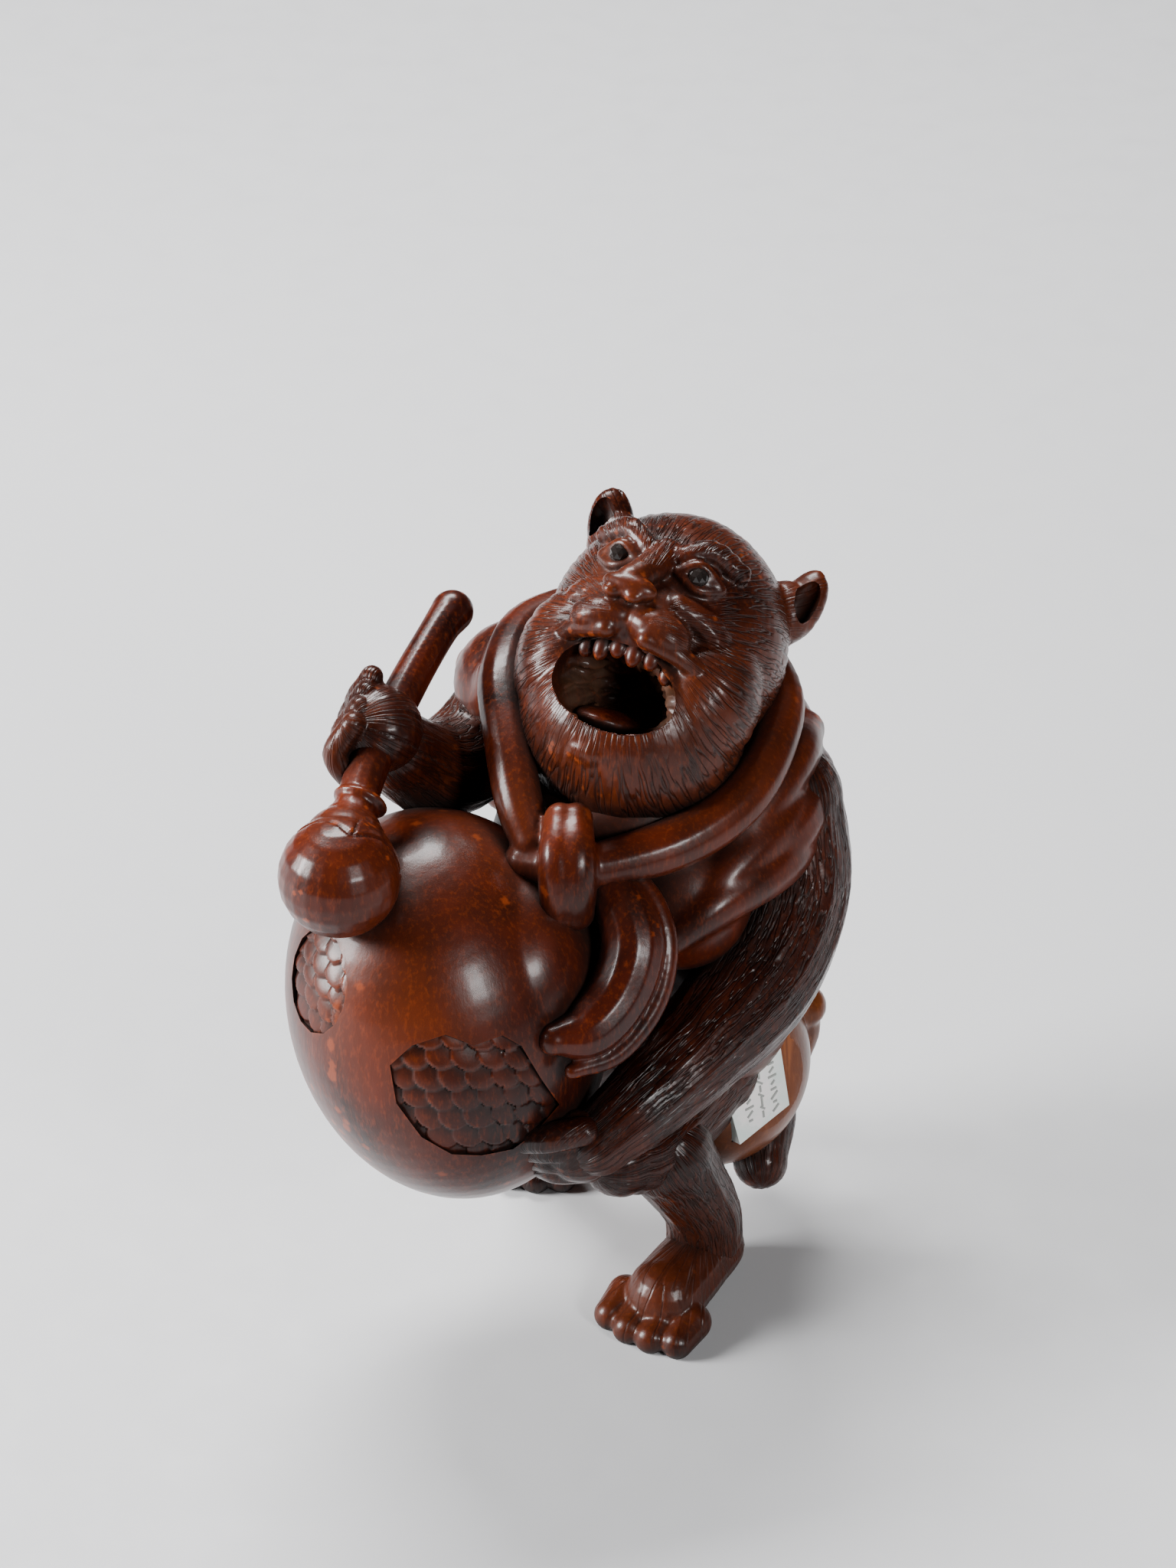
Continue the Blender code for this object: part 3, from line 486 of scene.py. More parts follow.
def gong_handle():
    """The carved grip: a thick band that bows away from the gong, with a raised rim along its outer edge."""
    return [
        limb([
            (-2.6, 4.4, 30.6, 1.2), (-1.3, 3.2, 29.4, 1.6), (-0.7, 1.8, 27.7, 1.75),
            (-1.5, 0.3, 25.6, 1.75), (-3.2, -1.2, 24.3, 1.6), (-5.0, -2.0, 24.3, 0.9),
        ]),
        limb([
            (-0.9, 4.4, 31.0, 0.5), (0.5, 3.2, 29.4, 0.6), (1.1, 1.8, 27.4, 0.65),
            (0.4, 0.1, 24.9, 0.65), (-1.6, -1.6, 23.0, 0.6), (-4.0, -2.6, 22.6, 0.45),
        ]),
    ]


def pouch():
    """The smooth rounded pouch at the left hip and the knot of its tie."""
    return [
        ball(POUCH_CENTRE, (5.7, POUCH_DEPTH, 6.1), turned(z=POUCH_TURN)),
        limb([(8.0, 16.0, 14.6, 1.2), (9.3, 17.0, 10.8, 1.3), (9.0, 16.8, 8.0, 1.0)]),
        ball((9.4, 17.0, 11.8), (1.5, 1.5, 1.3)),
    ]


def paw(heel, ball_of_foot, toe_middle):
    """A foot as a tapering run, with a row of round toes across its front."""
    clays = [limb([heel, [(a + b) / 2 for a, b in zip(heel, ball_of_foot)], ball_of_foot])]
    ahead = (Vector(toe_middle) - Vector(heel[:3])) * Vector((1, 1, 0))
    ahead.normalize()
    across = Vector((-ahead.y, ahead.x, 0))
    for toe in range(4):
        off = toe - 1.5
        start = Vector(toe_middle) + across * off * 1.5 - ahead * (0.7 + 0.22 * off**2)
        tip = start + ahead * 1.7 - Vector((0, 0, 0.3))
        clays.append(limb([(*start, 1.15), (*tip, 0.98)]))
    return clays


def front_foot():
    return paw((3.9, 7.2, 1.8, 2.1), (1.3, 3.0, 1.6, 2.3), (0.3, 1.6, 1.0))


def back_foot():
    return paw((-5.5, 21.0, 2.0, 2.1), (-6.4, 16.9, 1.6, 2.3), (-6.8, 15.6, 1.0))


def slab(name, axes, outline, middle, thickness):
    """A flat plate: its outline, in metres, in the first two axes, and its thickness along the third."""
    curve = bpy.data.curves.new(name, "CURVE")
    curve.dimensions = "2D"
    curve.fill_mode = "BOTH"
    curve.extrude = thickness / 2
    spline = curve.splines.new("POLY")
    spline.points.add(len(outline) - 1)
    for point, (x, y) in zip(spline.points, outline):
        point.co = (x, y, 0, 1)
    spline.use_cyclic_u = True
    flat = bpy.data.objects.new(name, curve)
    bpy.context.scene.collection.objects.link(flat)
    mesh = bpy.data.meshes.new_from_object(flat.evaluated_get(bpy.context.evaluated_depsgraph_get()))
    bpy.data.objects.remove(flat)
    bpy.data.curves.remove(curve)
    clay = bmesh.new()
    clay.from_mesh(mesh)
    bpy.data.meshes.remove(mesh)
    bmesh.ops.remove_doubles(clay, verts=clay.verts, dist=WELD)
    place = Matrix.Translation(middle) @ axes.to_4x4()
    bmesh.ops.transform(clay, matrix=place, verts=clay.verts)
    return joined(name, [clay])


def pillar(centre, direction, diameter, length):
    """A straight round bar about its middle, sizes in metres."""
    clay = bmesh.new()
    place = Matrix.Translation(Vector(centre)) @ facing(direction).to_4x4()
    radius = diameter / 2
    bmesh.ops.create_cone(
        clay, cap_ends=True, segments=PILLAR_SIDES, radius1=radius, radius2=radius, depth=length, matrix=place
    )
    return clay


def block(centre, sides, turn):
    """A box about its middle, sizes in metres."""
    clay = bmesh.new()
    place = Matrix.Translation(Vector(centre)) @ turn.to_4x4() @ Matrix.Diagonal((*sides, 1))
    bmesh.ops.create_cube(clay, size=1, matrix=place)
    return clay


def widened(outline, gap):
    """A convex outline, given anticlockwise, with every side moved out by the gap."""
    wide = []
    for before, corner, after in zip(outline[-1:] + outline[:-1], outline, outline[1:] + outline[:1]):
        come, leave = (corner - before).normalized(), (after - corner).normalized()
        come_out, leave_out = Vector((come.y, -come.x)), Vector((leave.y, -leave.x))
        out = (come_out + leave_out).normalized()
        wide.append(corner + out * gap / out.dot(come_out))
    return wide


def tablet(name, gap, face, back):
    """The tablet's kite-shaped pocket: the gap round it, its face and back from the facet, in metres."""
    outline = [Vector(corner) * UNIT for corner in TABLET_CORNERS]
    middle = Vector(TABLET_MIDDLE) * UNIT + TABLET_OUT * (face + back) / 2
    return slab(name, TABLET_AXES, widened(outline, gap), middle, face - back)


def tablet_facet():
    """What is cut off the pouch to leave a flat around the tablet."""
    height = FACET_CUT * UNIT
    middle = Vector(TABLET_MIDDLE) * UNIT + TABLET_OUT * height / 2
    return joined("facet", [pillar(middle, TABLET_OUT, 2 * FACET_REACH * UNIT, height)])


def sight_axes(sight):
    """Across, up and towards the eye, for a line of sight."""
    back = -Vector(sight).normalized()
    across = Vector((0, 0, 1)).cross(back).normalized()
    return Matrix((across, back.cross(across), back)).transposed()


def gong_skin(sight, across, up, sink):
    """Where a line of sight meets the gong, sunk by this much, and the way out of its skin there."""
    axes = sight_axes(sight)
    start = Vector(GONG_CENTRE) + axes @ Vector((across, up, 0))
    squash = Matrix.Diagonal([1 / (radius - sink) for radius in GONG_RADII]) @ GONG_LEAN.transposed()
    origin = squash @ (start - Vector(GONG_CENTRE))
    ray = squash @ axes.col[2]
    a, b, c = ray.dot(ray), 2 * origin.dot(ray), origin.dot(origin) - 1
    if b * b < 4 * a * c:
        return None
    reach = (-b + math.sqrt(b * b - 4 * a * c)) / (2 * a)
    out = squash.transposed() @ (origin + ray * reach)
    return start + axes.col[2] * reach, out.normalized()


def patch_bed(sight, outline):
    """A shallow bed for scales: the outline's prism, less the gong's own body below the bed."""
    depth = 2 * max(GONG_RADII) * UNIT
    axes = sight_axes(sight)
    middle = (Vector(GONG_CENTRE) + axes.col[2] * max(GONG_RADII)) * UNIT
    bed = slab("bed", axes, [Vector(point) * UNIT for point in outline], middle, depth)
    core = joined("core", [ball(GONG_CENTRE, [radius - PATCH_DEPTH for radius in GONG_RADII], GONG_LEAN)])
    return combined(bed, core, "DIFFERENCE")


def cord_tunnel():
    """The two holes for the cord in the back, which meet inside."""
    half, radius = CORD_HOLE_SPACING / 2 / UNIT, CORD_HOLE_DIAMETER / 2 / UNIT
    x, y, z = CORD_HOLES_MIDDLE
    deep = y - CORD_HOLE_DEPTH / UNIT
    return joined("tunnel", [
        limb([
            (x - half, y + 3, z, radius), (x - half, y, z, radius), (x - half * 0.75, deep + 0.6, z, radius),
            (x, deep, z, radius), (x + half * 0.75, deep + 0.6, z, radius), (x + half, y, z, radius),
            (x + half, y + 3, z, radius),
        ], steps=2)
    ])


def gong_slit():
    """The sound slit low on the gong, with a round hole at each end."""
    bottom = Vector(GONG_CENTRE) + GONG_LEAN @ Vector((0, 0, -GONG_RADII[2]))
    centre = bottom * UNIT
    clays = [block(centre, (SLIT_LENGTH, SLIT_WIDTH, 2 * SLIT_DEPTH), GONG_LEAN)]
    for side in (-1, 1):
        end = centre + GONG_LEAN @ Vector((side * SLIT_LENGTH / 2, 0, 0))
        clays.append(pillar(end, GONG_LEAN.col[2], SLIT_END_DIAMETER, 2 * SLIT_END_DEPTH))
    return clays


def hashed(x, y):
    """A number from 0 to 1 for each cell of a grid."""
    mixed = np.sin(x * 127.1 + y * 311.7) * 43758.5453
    return mixed - np.floor(mixed)


def noise(x, y):
    """Smooth value noise with cells of size 1."""
    cell_x, cell_y = np.floor(x), np.floor(y)
    u, v = x - cell_x, y - cell_y
    u, v = u * u * (3 - 2 * u), v * v * (3 - 2 * v)
    low = hashed(cell_x, cell_y) * (1 - u) + hashed(cell_x + 1, cell_y) * u
    high = hashed(cell_x, cell_y + 1) * (1 - u) + hashed(cell_x + 1, cell_y + 1) * u
    return low * (1 - v) + high * v


FUR_WIDTH = 0.36
FUR_LENGTH = 3.0
FUR_DEPTH = 0.075
FUR_SWAY = 0.35
FUR_WAVE = 3


def fur(across, along):
    """Height of the fur: ridges with sharp grooves between them, and finer hairs on top."""
    bent = across + FUR_SWAY * (noise(across / FUR_WAVE, along / FUR_WAVE) - 0.5) * FUR_WAVE
    broad = 1 - np.abs(2 * noise(bent / FUR_WIDTH, along / FUR_LENGTH) - 1) ** 0.7
    fine = noise(bent / (FUR_WIDTH * 0.5) + 31, along / (FUR_LENGTH * 0.5))
    return -FUR_DEPTH * broad - FUR_DEPTH * 0.45 * fine


def points_of(made):
    flat = np.empty(len(made.data.vertices) * 3)
    made.data.vertices.foreach_get("co", flat)
    return flat.reshape(-1, 3) / UNIT


def normals_of(made):
    flat = np.empty(len(made.data.vertices) * 3)
    made.data.vertices.foreach_get("normal", flat)
    return flat.reshape(-1, 3)


def move(made, points):
    made.data.vertices.foreach_set("co", (points * UNIT).ravel())
    made.data.update()


def stretch_of_limb(points, run):
    """Across and along a limb, in carving units, for every point: nearest place on its centreline."""
    knots = np.array(flowing(run, 8))
    line, radii = knots[:, :3], knots[:, 3]
    steps = np.diff(line, axis=0)
    lengths = np.linalg.norm(steps, axis=1)
    starts = np.concatenate([[0], np.cumsum(lengths)])
    best = np.full(len(points), np.inf)
    across, along = np.zeros(len(points)), np.zeros(len(points))
    side = np.cross(steps[0], (0.3, 0.2, 1.0))
    for index, step in enumerate(steps):
        way = step / lengths[index]
        side = side - way * side.dot(way)
        side = side / np.linalg.norm(side)
        other = np.cross(way, side)
        share = np.clip((points - line[index]) @ way / lengths[index], 0, 1)
        off = points - line[index] - share[:, None] * step
        far = np.linalg.norm(off, axis=1)
        nearer = far < best
        best = np.where(nearer, far, best)
        turn = np.arctan2(off @ other, off @ side)
        across = np.where(nearer, turn * radii.mean(), across)
        along = np.where(nearer, starts[index] + share * lengths[index], along)
    return across, along


def face_places(points):
    """Right, front and up along the head's own axes."""
    axes = np.array(HEAD_AXES)
    local = (points - np.array(HEAD_CENTRE)) @ axes
    return local[:, 0], -local[:, 1], local[:, 2]


FUR_PARTING_UP = 1.4
FUR_PARTING_BACK = 2
FACE_RADIUS = 6.2
SKULL_RADIUS = 8


def stretch_of_head(points):
    """Fur parts at the nose and sweeps back over the head from there."""
    right, front, up = face_places(points)
    around = np.arctan2(up - FUR_PARTING_UP, right)
    back = np.arctan2(np.hypot(right, up - FUR_PARTING_UP), front + FUR_PARTING_BACK)
    return around * FACE_RADIUS, back * SKULL_RADIUS


def mark(made, name, values):
    """A number on every vertex, which the materials read."""
    made.data.attributes.new(name, "FLOAT", "POINT").data.foreach_set("value", np.asarray(values, np.float32))


def ramp(value, low, high):
    share = np.clip((value - low) / (high - low), 0, 1)
    return share * share * (3 - 2 * share)


def furred(made, across, along, strength):
    """Cuts the fur, and keeps where each hair runs for the material's finer hairs."""
    points = points_of(made)
    move(made, points + normals_of(made) * (fur(across, along) * strength)[:, None])
    mark(made, "across", across)
    mark(made, "along", along)
    mark(made, "fur", strength * np.ones(len(points)))


def furred_limb(name, clays, run, grain, strength=1.0):
    made = fused(joined(name, clays), grain)
    across, along = stretch_of_limb(points_of(made), run)
    furred(made, across, along, strength)
    return made


def bare_places(points):
    """How deep in the mouth each point of the head is, and how bare of fur, from 0 to 1."""
    right, front, up = face_places(points)
    from_mouth = np.hypot(right / 1.35, up + 2.6)
    in_mouth = ramp(2.75 - from_mouth, 0, 0.4) * ramp(front, 0, 1) * ramp(7.0 - front, 0, 0.8)
    on_nose = ramp(1.9 - np.hypot(right, up - 2.7), 0, 0.5) * (front > 6)
    from_lips = np.abs(np.hypot(right / 1.25, up + 2.7) - 3.3)
    on_lips = np.clip(1.25 - from_lips, 0, 1) * (front > 4.6)
    on_muzzle = ramp(5.2 - np.hypot(right / 1.1, up - 1.5), 0, 2.5) * ramp(front, 4, 6)
    by_eyes = np.zeros(len(points))
    in_ears = np.zeros(len(points))
    for side in (-1, 1):
        by_eyes += ramp(2.1 - np.hypot(right - side * EYE[0], up - EYE[2]), 0, 1) * (front > 3)
        from_ear = np.linalg.norm(points - np.array(on_head(*ear_middle(side))), axis=1)
        in_ears += ramp(2.3 - from_ear, 0, 0.6)
    bare = in_mouth + on_nose + 0.8 * on_lips + by_eyes + 0.45 * on_muzzle + 0.7 * in_ears
    return in_mouth, np.clip(bare, 0, 1)


MOUTH_LUMP_DEPTH = 0.75


def furred_head():
    """The head with its hollows, its fur and the rough lumps inside the mouth."""
    made = fused(joined("head", head()), 0.125, 1)
    hollows = fused(joined("hollows", [*mouth_hollow(), ear_hollow(-1), ear_hollow(1)]), 0.12)
    combined(made, hollows, "DIFFERENCE")
    points = points_of(made)
    right, front, up = face_places(points)
    in_mouth, bare = bare_places(points)
    across, along = stretch_of_head(points)
    furred(made, across, along, 1 - bare)
    points, out = points_of(made), normals_of(made)
    broad = noise(right / 0.9 + front / 2, up / 0.8 + front / 1.3)
    fine = noise(right / 0.35, up / 0.3 + front / 0.5)
    lumps = broad + 0.5 * fine - 0.4
    move(made, points + out * (MOUTH_LUMP_DEPTH * in_mouth * lumps)[:, None])
    mark(made, "mouth", in_mouth)
    return made


SCALE_FREE_EDGE = (-0.45, -0.89)
SCALE_ROW_SHARE = 0.8
SCALE_REACH = 0.66
SCALE_TIP = 0.72
SCALE_ROUNDING = 0.14


def bevelled_scale(across, up):
    """Height from 0 to 1 of fish scales, each tipped up at its free edge and lying over the next."""
    height = np.zeros_like(across)
    row_pitch = SCALE_PITCH * SCALE_ROW_SHARE
    near_row = np.round(up / row_pitch)
    for row_step in (-1, 0, 1):
        row = near_row + row_step
        shift = 0.5 * (row % 2)
        near_place = np.round(across / SCALE_PITCH - shift)
        for place_step in (-1, 0, 1):
            off_x = across - (near_place + place_step + shift) * SCALE_PITCH
            off_y = up - row * row_pitch
            far = np.hypot(off_x, off_y) / (SCALE_REACH * SCALE_PITCH)
            towards_edge = off_x * SCALE_FREE_EDGE[0] + off_y * SCALE_FREE_EDGE[1]
            tipped = 0.5 + SCALE_TIP * towards_edge / SCALE_PITCH
            height = np.maximum(height, np.where(far < 1, tipped - SCALE_ROUNDING * far**4, 0))
    return height


PATCH_GRAIN = 0.09
PATCH_MARGIN = 0.35
SCALE_WOBBLE = 0.25
SCALE_WAVE = 1.4


def patch_skin(name, sight, outline):
    """The bed of scales as a fine skin under its opening in the gong."""
    low = np.min(outline, axis=0) - PATCH_MARGIN
    high = np.max(outline, axis=0) + PATCH_MARGIN
    columns = int((high[0] - low[0]) / PATCH_GRAIN)
    rows = int((high[1] - low[1]) / PATCH_GRAIN)
    spans = np.linspace(low[0], high[0], columns), np.linspace(low[1], high[1], rows)
    grid = np.meshgrid(*spans, indexing="ij")
    wave = grid[0] / SCALE_WAVE, grid[1] / SCALE_WAVE
    wide = grid[0] + SCALE_WOBBLE * (noise(*wave) - 0.5)
    tall = grid[1] + SCALE_WOBBLE * (noise(wave[0] + 9, wave[1]) - 0.5)
    raised = bevelled_scale(wide, tall)
    clay = bmesh.new()
    made = {}
    for i in range(columns):
        for j in range(rows):
            sink = PATCH_DEPTH * (1.05 - 0.95 * raised[i, j])
            found = gong_skin(sight, grid[0][i, j], grid[1][i, j], sink)
            if found:
                made[i, j] = clay.verts.new(found[0] * UNIT)
    for i in range(columns - 1):
        for j in range(rows - 1):
            corners = [made.get(key) for key in ((i, j), (i + 1, j), (i + 1, j + 1), (i, j + 1))]
            if all(corners):
                clay.faces.new(corners)
    clay.verts.index_update()
    heights = [raised[key] for key in made]
    mesh = bpy.data.meshes.new(name)
    clay.to_mesh(mesh)
    clay.free()
    skin = bpy.data.objects.new(name, mesh)
    bpy.context.scene.collection.objects.link(skin)
    mark(skin, "raised", heights)
    return skin


PETALS = 5
PETAL_GROOVE = 0.14
PETAL_FROM = 1.0
PETAL_TO = 2.6
PETAL_HEIGHT = 0.75
SEAM_WIDTH = 0.09


def petalled_mallet():
    """The mallet, with a ring of petal tips cut into the bulb just below its neck."""
    made = fused(joined("mallet", mallet()), 0.12, 3)
    points = points_of(made)
    axis = np.array(MALLET_RUN)
    side = np.cross(axis, (0, 0, 1))
    side = side / np.linalg.norm(side)
    off = points - np.array(MALLET_BULB)
    along = off @ axis
    turn = np.arctan2(off @ np.cross(axis, side), off @ side)
    arch = np.abs(np.sin(turn * PETALS / 2))
    edge = PETAL_FROM + PETAL_HEIGHT * arch
    line = ramp(PETAL_GROOVE - np.abs(along - edge), 0, PETAL_GROOVE)
    seam = ramp(SEAM_WIDTH - arch, 0, SEAM_WIDTH) * (along > PETAL_FROM) * (along < PETAL_TO)
    move(made, points - normals_of(made) * (PETAL_GROOVE * np.maximum(line, seam))[:, None])
    return made


def smooth_gong():
    made = fused(joined("gong", gong()), 0.22, 5)
    for sight, outline in ((FRONT_SIGHT, FRONT_PATCH), (SIDE_SIGHT, SIDE_PATCH)):
        combined(made, patch_bed(sight, outline), "DIFFERENCE")
    for clay in gong_slit():
        combined(made, joined("slit", [clay]), "DIFFERENCE")
    return made


POCKET_GAP_SHARE = 0.3


def socketed_pouch():
    made = fused(joined("pouch", pouch()), 0.18, 3)
    combined(made, tablet_facet(), "DIFFERENCE")
    back = TABLET_PROUD - TABLET_THICKNESS - INLAY_GAP
    pocket = tablet("pocket", INLAY_GAP * POCKET_GAP_SHARE, 2 * TABLET_THICKNESS, back)
    return combined(made, pocket, "DIFFERENCE")


STROKE_WIDTH = 0.00013
STROKE_DEPTH = 0.00008
STROKE_COLUMNS = 3
STROKE_ROWS = 9
STROKE_TURNS = (0, 90, 35, -40)


def tablet_strokes():
    """Rows of shallow engraved strokes on the tablet, which are no letters."""
    clays = []
    for column in range(STROKE_COLUMNS):
        for row in range(STROKE_ROWS):
            across = (-1.45 + 0.95 * column) * UNIT
            up = (-1.3 + 0.42 * row) * UNIT
            length = (0.28 + 0.4 * float(hashed(column * 7.0, row * 3.0))) * UNIT
            turn = turned(z=STROKE_TURNS[(row * 2 + column) % len(STROKE_TURNS)])
            centre = Vector(TABLET_MIDDLE) * UNIT + TABLET_AXES @ Vector((across, up, TABLET_PROUD))
            clays.append(block(centre, (length, STROKE_WIDTH, STROKE_DEPTH), TABLET_AXES @ turn))
    return joined("tablet_strokes", clays)


class Nodes:
    """A material's nodes, made and linked by short calls."""

    def __init__(self, name):
        self.material = bpy.data.materials.new(name)
        self.material.use_nodes = True
        self.tree = self.material.node_tree
        self.shader = self.tree.nodes["Principled BSDF"]

    def add(self, kind, **inputs):
        node = self.tree.nodes.new(kind)
        for key, value in inputs.items():
            self.put(node, key.replace("_", " "), value)
        return node

    def put(self, node, socket, value):
        if isinstance(value, bpy.types.NodeSocket):
            self.tree.links.new(value, node.inputs[socket])
        else:
            node.inputs[socket].default_value = value

    def noise(self, vector, scale, detail=3, roughness=0.55):
        node = self.add("ShaderNodeTexNoise", Vector=vector, Scale=scale, Detail=detail, Roughness=roughness)
        return node.outputs[0]

    def maths(self, operation, first, second):
        node = self.tree.nodes.new("ShaderNodeMath")
        node.operation = operation
        self.put(node, 0, first)
        self.put(node, 1, second)
        return node.outputs[0]

    def mixed(self, share, first, second):
        node = self.tree.nodes.new("ShaderNodeMix")
        node.data_type = "RGBA"
        self.put(node, 0, share)
        self.put(node, 6, first)
        self.put(node, 7, second)
        return node.outputs[2]

    def between(self, value, low, high, to_low=0, to_high=1):
        node = self.add("ShaderNodeMapRange")
        for socket, given in zip(range(5), (value, low, high, to_low, to_high)):
            self.put(node, socket, given)
        return node.outputs[0]

    def attribute(self, name):
        node = self.tree.nodes.new("ShaderNodeAttribute")
        node.attribute_name = name
        return node.outputs["Fac"]


# Noise scales of the wood, per metre. Grain and flecks are drawn out along Z
GRAIN_STRETCH = (1.0, 1.0, 0.3)
GRAIN_SCALE = 420
BLOTCH_SCALE = 70
FLECK_SCALE = 4200
DUST_SCALE = 900
HAIRS_ACROSS = 3.4
HAIRS_ALONG = 0.42
HOLLOW_REACH = 0.0022
HOLLOW_SAMPLES = 6

# Painted shade for hollows, creases and gaps between parts, mixed in where the ambient occlusion finds them
PAINTED_HOLLOW_SHADE = (0.006, 0.0035, 0.0025, 1)
# Painted shade for the fine hair grooves
GROOVE_PAINTED_SHADE = (0.006, 0.0028, 0.002, 1)
# Painted shade for the low parts of the scales and the bed between them
SCALE_PAINTED_SHADE = (0.004, 0.002, 0.0015, 1)
MOUTH_DUST = (0.06, 0.028, 0.013, 1)


def wood(name, dark, mid, light, hairs=False, mouth=False, scales=False):
    """Stained, waxed boxwood: streaks and pores, painted shade in hollows, fur grooves and between scales,
    and bright where the stain is worn.
    """
    made = Nodes(name)
    place = made.add("ShaderNodeTexCoord").outputs["Object"]
    along_grain = made.add("ShaderNodeMapping", Vector=place, Scale=GRAIN_STRETCH).outputs[0]
    grain = made.noise(along_grain, GRAIN_SCALE, 4)
    blotch = made.noise(place, BLOTCH_SCALE, 2)
    flecks = made.noise(along_grain, FLECK_SCALE, 2, 0.7)
    tone = made.mixed(made.between(grain, 0.3, 0.75), (*dark, 1), (*mid, 1))
    tone = made.mixed(made.between(blotch, 0.45, 0.8, 0, 0.4), tone, (*light, 1))
    tone = made.mixed(made.between(flecks, 0.5, 0.75, 0, 0.3), tone, (*light, 1))
    edge = made.add("ShaderNodeNewGeometry").outputs["Pointiness"]
    tone = made.mixed(made.between(edge, 0.52, 0.62, 0, 0.6), tone, (*light, 1))
    # Painted shade: the colour goes towards near black where the ambient occlusion finds hollows, creases and
    # gaps between parts; the wax is also made rougher there
    shade = made.add("ShaderNodeAmbientOcclusion", Distance=HOLLOW_REACH)
    shade.samples = HOLLOW_SAMPLES
    open_air = shade.outputs["AO"]
    tone = made.mixed(made.between(open_air, 0.25, 0.85, 0.9, 0), tone, PAINTED_HOLLOW_SHADE)
    height = made.maths("MULTIPLY", flecks, 0.25)
    rough = made.between(blotch, 0.3, 0.8, 0.27, 0.4)
    rough = made.maths("ADD", rough, made.between(open_air, 0.3, 0.9, 0.3, 0))
    if hairs:
        run = made.add("ShaderNodeCombineXYZ")
        made.put(run, 0, made.maths("MULTIPLY", made.attribute("across"), HAIRS_ACROSS))
        made.put(run, 1, made.maths("MULTIPLY", made.attribute("along"), HAIRS_ALONG))
        hair = made.noise(run.outputs[0], 1.0, 1)
        groove = made.maths("ABSOLUTE", made.maths("SUBTRACT", hair, 0.5), 0)
        cut = made.maths("MULTIPLY", made.between(groove, 0, 0.07, 1, 0), made.attribute("fur"))
        # Painted shade: the fine hair grooves, which the bump also cuts, are darkened towards near black
        tone = made.mixed(made.maths("MULTIPLY", cut, 0.75), tone, GROOVE_PAINTED_SHADE)
        height = made.maths("SUBTRACT", height, made.maths("MULTIPLY", cut, 2.4))
    if scales:
        # Painted shade: the low parts of the scales and the bed between them are darkened towards near black
        low = made.between(made.attribute("raised"), 0.25, 0.7, 0.92, 0)
        tone = made.mixed(low, tone, SCALE_PAINTED_SHADE)
    if mouth:
        patchy = made.between(made.noise(place, DUST_SCALE, 4), 0.35, 0.6, 0.3, 1)
        dust = made.maths("MULTIPLY", made.attribute("mouth"), patchy)
        tone = made.mixed(made.maths("MULTIPLY", dust, 0.7), tone, MOUTH_DUST)
        rough = made.maths("MAXIMUM", rough, made.maths("MULTIPLY", made.attribute("mouth"), 0.75))
    bump = made.add("ShaderNodeBump", Strength=0.55, Distance=0.00006, Height=height)
    made.put(made.shader, "Base Color", tone)
    made.put(made.shader, "Roughness", rough)
    made.put(made.shader, "Normal", bump.outputs[0])
    made.put(made.shader, "Specular IOR Level", 0.22)
    made.put(made.shader, "Coat Weight", 0.14)
    made.put(made.shader, "Coat Roughness", 0.14)
    made.put(made.shader, "Coat IOR", 1.4)
    return made.material


def pearl():
    made = Nodes("pearl")
    place = made.add("ShaderNodeTexCoord").outputs["Object"]
    cloud = made.noise(place, 500, 3)
    tone = made.mixed(made.between(cloud, 0.35, 0.65), (0.62, 0.72, 0.68, 1), (0.86, 0.82, 0.8, 1))
    made.put(made.shader, "Base Color", tone)
    made.put(made.shader, "Roughness", made.between(cloud, 0.3, 0.7, 0.18, 0.34))
    made.put(made.shader, "Coat Weight", 0.6)
    made.put(made.shader, "Coat Roughness", 0.08)
    return made.material


def plain(name, colour, roughness):
    made = Nodes(name)
    place = made.add("ShaderNodeTexCoord").outputs["Object"]
    cloud = made.noise(place, 300, 3)
    made.put(made.shader, "Base Color", (*colour, 1))
    made.put(made.shader, "Roughness", made.between(cloud, 0.3, 0.7, roughness * 0.8, roughness * 1.2))
    return made.material


SHARP_EDGE = 55


def finished(made, finish):
    """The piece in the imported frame, standing on or above the floor, with its material."""
    points = points_of(made)
    points[:, 2] = np.maximum(points[:, 2], 0)
    move(made, points + SHIFT)
    coated(made, finish)
    made.data.shade_smooth()
    made.data.set_sharp_from_angle(angle=math.radians(SHARP_EDGE))
    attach(made, "root")
    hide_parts("carved_figure")


def coated(made, finish):
    made.data.materials.clear()
    made.data.materials.append(finish)


# Each wood's colour where the stain is deep, where it is even and where it is worn
POLISHED = ((0.009, 0.0016, 0.0009), (0.062, 0.0072, 0.0016), (0.22, 0.036, 0.0055))
FURRED = ((0.008, 0.0018, 0.0011), (0.042, 0.0064, 0.002), (0.15, 0.029, 0.006))
FACE = ((0.009, 0.0019, 0.0011), (0.052, 0.0074, 0.002), (0.2, 0.036, 0.0065))
POUCH = ((0.07, 0.017, 0.005), (0.16, 0.04, 0.009), (0.3, 0.085, 0.02))


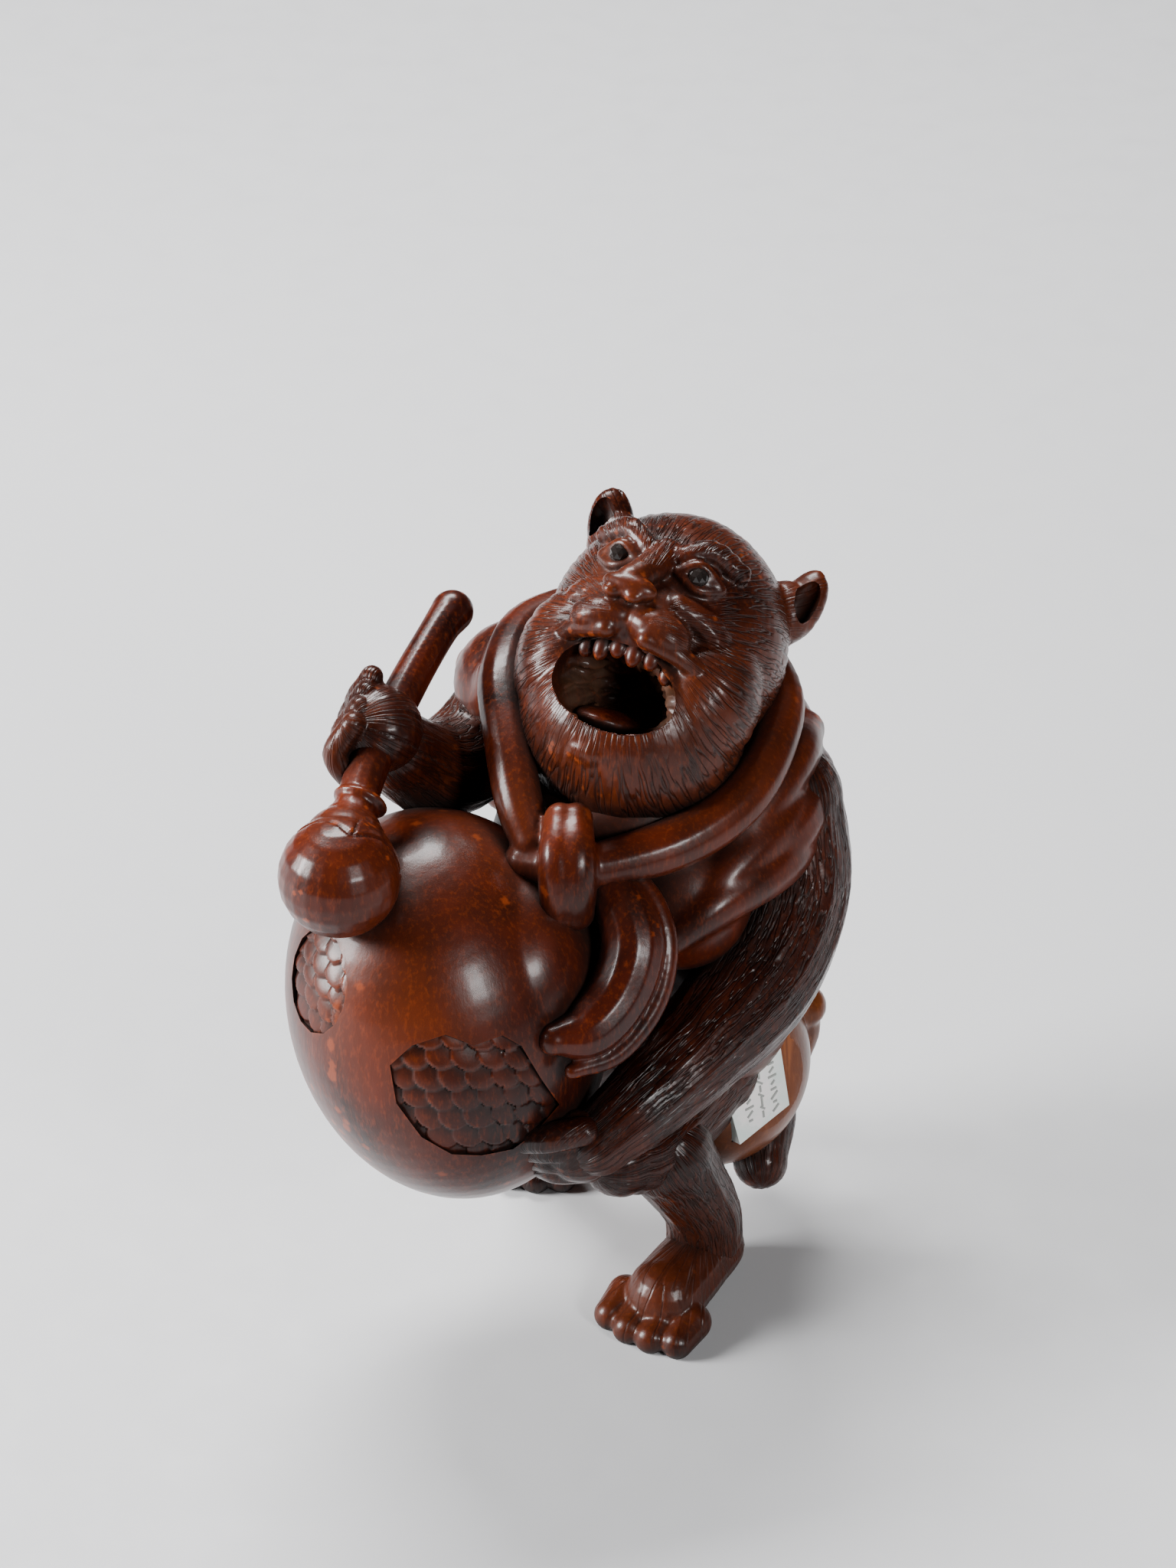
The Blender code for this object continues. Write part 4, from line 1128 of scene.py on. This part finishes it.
def carve():
    """Every part of the wooden figure, in its own skin."""
    smooth = wood("polished_wood", *POLISHED)
    hairy = wood("furred_wood", *FURRED, hairs=True)
    face = wood("face_wood", *FACE, hairs=True, mouth=True)
    scaly = wood("scaled_wood", *POLISHED, scales=True)
    bright = wood("pouch_wood", *POUCH)

    finished(furred_head(), face)
    finished(fused(joined("tongue", tongue()), grain=0.12), smooth)
    finished(fused(joined("teeth", teeth()), grain=0.08), smooth)
    back = fused(joined("cape", [*torso(), *cape()]), grain=0.24, soften=3)
    finished(combined(back, cord_tunnel(), "DIFFERENCE"), smooth)
    finished(fused(joined("scarf", scarf()), grain=0.17, soften=3), smooth)
    finished(furred_limb("left_arm", [limb(LEFT_ARM)], LEFT_ARM, grain=0.15), hairy)
    finished(furred_limb("left_hand", left_hand(), LEFT_ARM, grain=0.11, strength=0.2), hairy)
    finished(furred_limb("right_arm", [limb(RIGHT_ARM)], RIGHT_ARM, grain=0.15), hairy)
    finished(furred_limb("right_fist", right_hand(), RIGHT_ARM, grain=0.12, strength=0.6), hairy)
    finished(petalled_mallet(), smooth)
    finished(smooth_gong(), smooth)
    finished(patch_skin("front_scales", FRONT_SIGHT, FRONT_PATCH), scaly)
    finished(patch_skin("side_scales", SIDE_SIGHT, SIDE_PATCH), scaly)
    finished(fused(joined("gong_grip", gong_handle()), grain=0.12, soften=3), smooth)
    finished(socketed_pouch(), bright)
    finished(furred_limb("front_thigh", [limb(FRONT_THIGH)], FRONT_THIGH, grain=0.15, strength=0.8), hairy)
    finished(furred_limb("front_shin", [limb(FRONT_SHIN)], FRONT_SHIN, grain=0.14), hairy)
    finished(furred_limb("front_foot", front_foot(), FRONT_SHIN, grain=0.12, strength=0.4), hairy)
    finished(furred_limb("back_leg", [limb(BACK_LEG)], BACK_LEG, grain=0.17), hairy)
    finished(furred_limb("back_foot", back_foot(), BACK_LEG, grain=0.12, strength=0.4), hairy)
    finished(furred_limb("tail", [limb(TAIL)], TAIL, grain=0.18), hairy)


def inlay():
    """The tablet's pearl and strokes, and the dark pupils."""
    coated(bpy.data.objects["signature_tablet"], pearl())
    strokes = tablet_strokes()
    move(strokes, points_of(strokes) + SHIFT)
    coated(strokes, plain("stroke_shade", (0.3, 0.31, 0.29), 0.5))
    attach(strokes, "root")
    horn = plain("dark_horn", (0.012, 0.009, 0.008), 0.09)
    for name in ("pupil_left", "pupil_right"):
        coated(bpy.data.objects[name], horn)


def aimed(made, place, target):
    made.location = place
    made.rotation_euler = (Vector(target) - Vector(place)).to_track_quat("-Z", "Y").to_euler()
    bpy.context.scene.collection.objects.link(made)


def softbox(name, place, size, power):
    light = bpy.data.lights.new(name, "AREA")
    light.shape = "RECTANGLE"
    light.size, light.size_y = size
    light.energy = power
    aimed(bpy.data.objects.new(name, light), place, LIT_PLACE)


# Each light's name, place, size and power, in metres and watts
LIT_PLACE = (0, 0, 0.02)
SOFTBOXES = (
    ("key", (-0.28, -0.03, 0.14), (0.1, 0.12), 2.9),
    ("front", (0.15, -0.2, 0.15), (0.06, 0.06), 0.55),
    ("top", (-0.05, 0.16, 0.28), (0.18, 0.08), 2.1),
)
FLOOR_SIZE = 3
WORLD_COLOUR = (0.8, 0.82, 0.85, 1)
WORLD_STRENGTH = 0.07

# The camera, in carving units and degrees
CAMERA_TARGET = (-3.15, 8.77, 33.45)
CAMERA_BACK = 237
CAMERA_DOWN = 35
CAMERA_LENS = 100
CAMERA_SENSOR = 36


def stage():
    """Floor, world, soft lights from the left, the right and behind, and the camera."""
    bpy.ops.mesh.primitive_plane_add(size=FLOOR_SIZE)
    ground = bpy.context.object
    ground.name = "floor"
    ground.data.materials.append(plain("floor_paint", (0.5, 0.5, 0.51), 0.7))
    world = bpy.data.worlds.new("studio")
    world.use_nodes = True
    sky = world.node_tree.nodes["Background"].inputs
    sky["Color"].default_value = WORLD_COLOUR
    sky["Strength"].default_value = WORLD_STRENGTH
    bpy.context.scene.world = world
    for light in SOFTBOXES:
        softbox(*light)
    target = (Vector(CAMERA_TARGET) + Vector(SHIFT)) * UNIT
    down = math.radians(CAMERA_DOWN)
    sight = Vector((0, math.cos(down), -math.sin(down)))
    lens = bpy.data.cameras.new("camera")
    lens.lens = CAMERA_LENS
    lens.sensor_width = CAMERA_SENSOR
    lens.clip_start = 0.001
    camera = bpy.data.objects.new("camera", lens)
    aimed(camera, target - sight * CAMERA_BACK * UNIT, target)
    bpy.context.scene.camera = camera


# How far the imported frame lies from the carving's own, in carving units: read where the left pupil stands
low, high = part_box("pupil_left")
SHIFT = np.array((Vector(low) + Vector(high)) / 2 / UNIT - on_head(*EYE))
carve()
inlay()
stage()
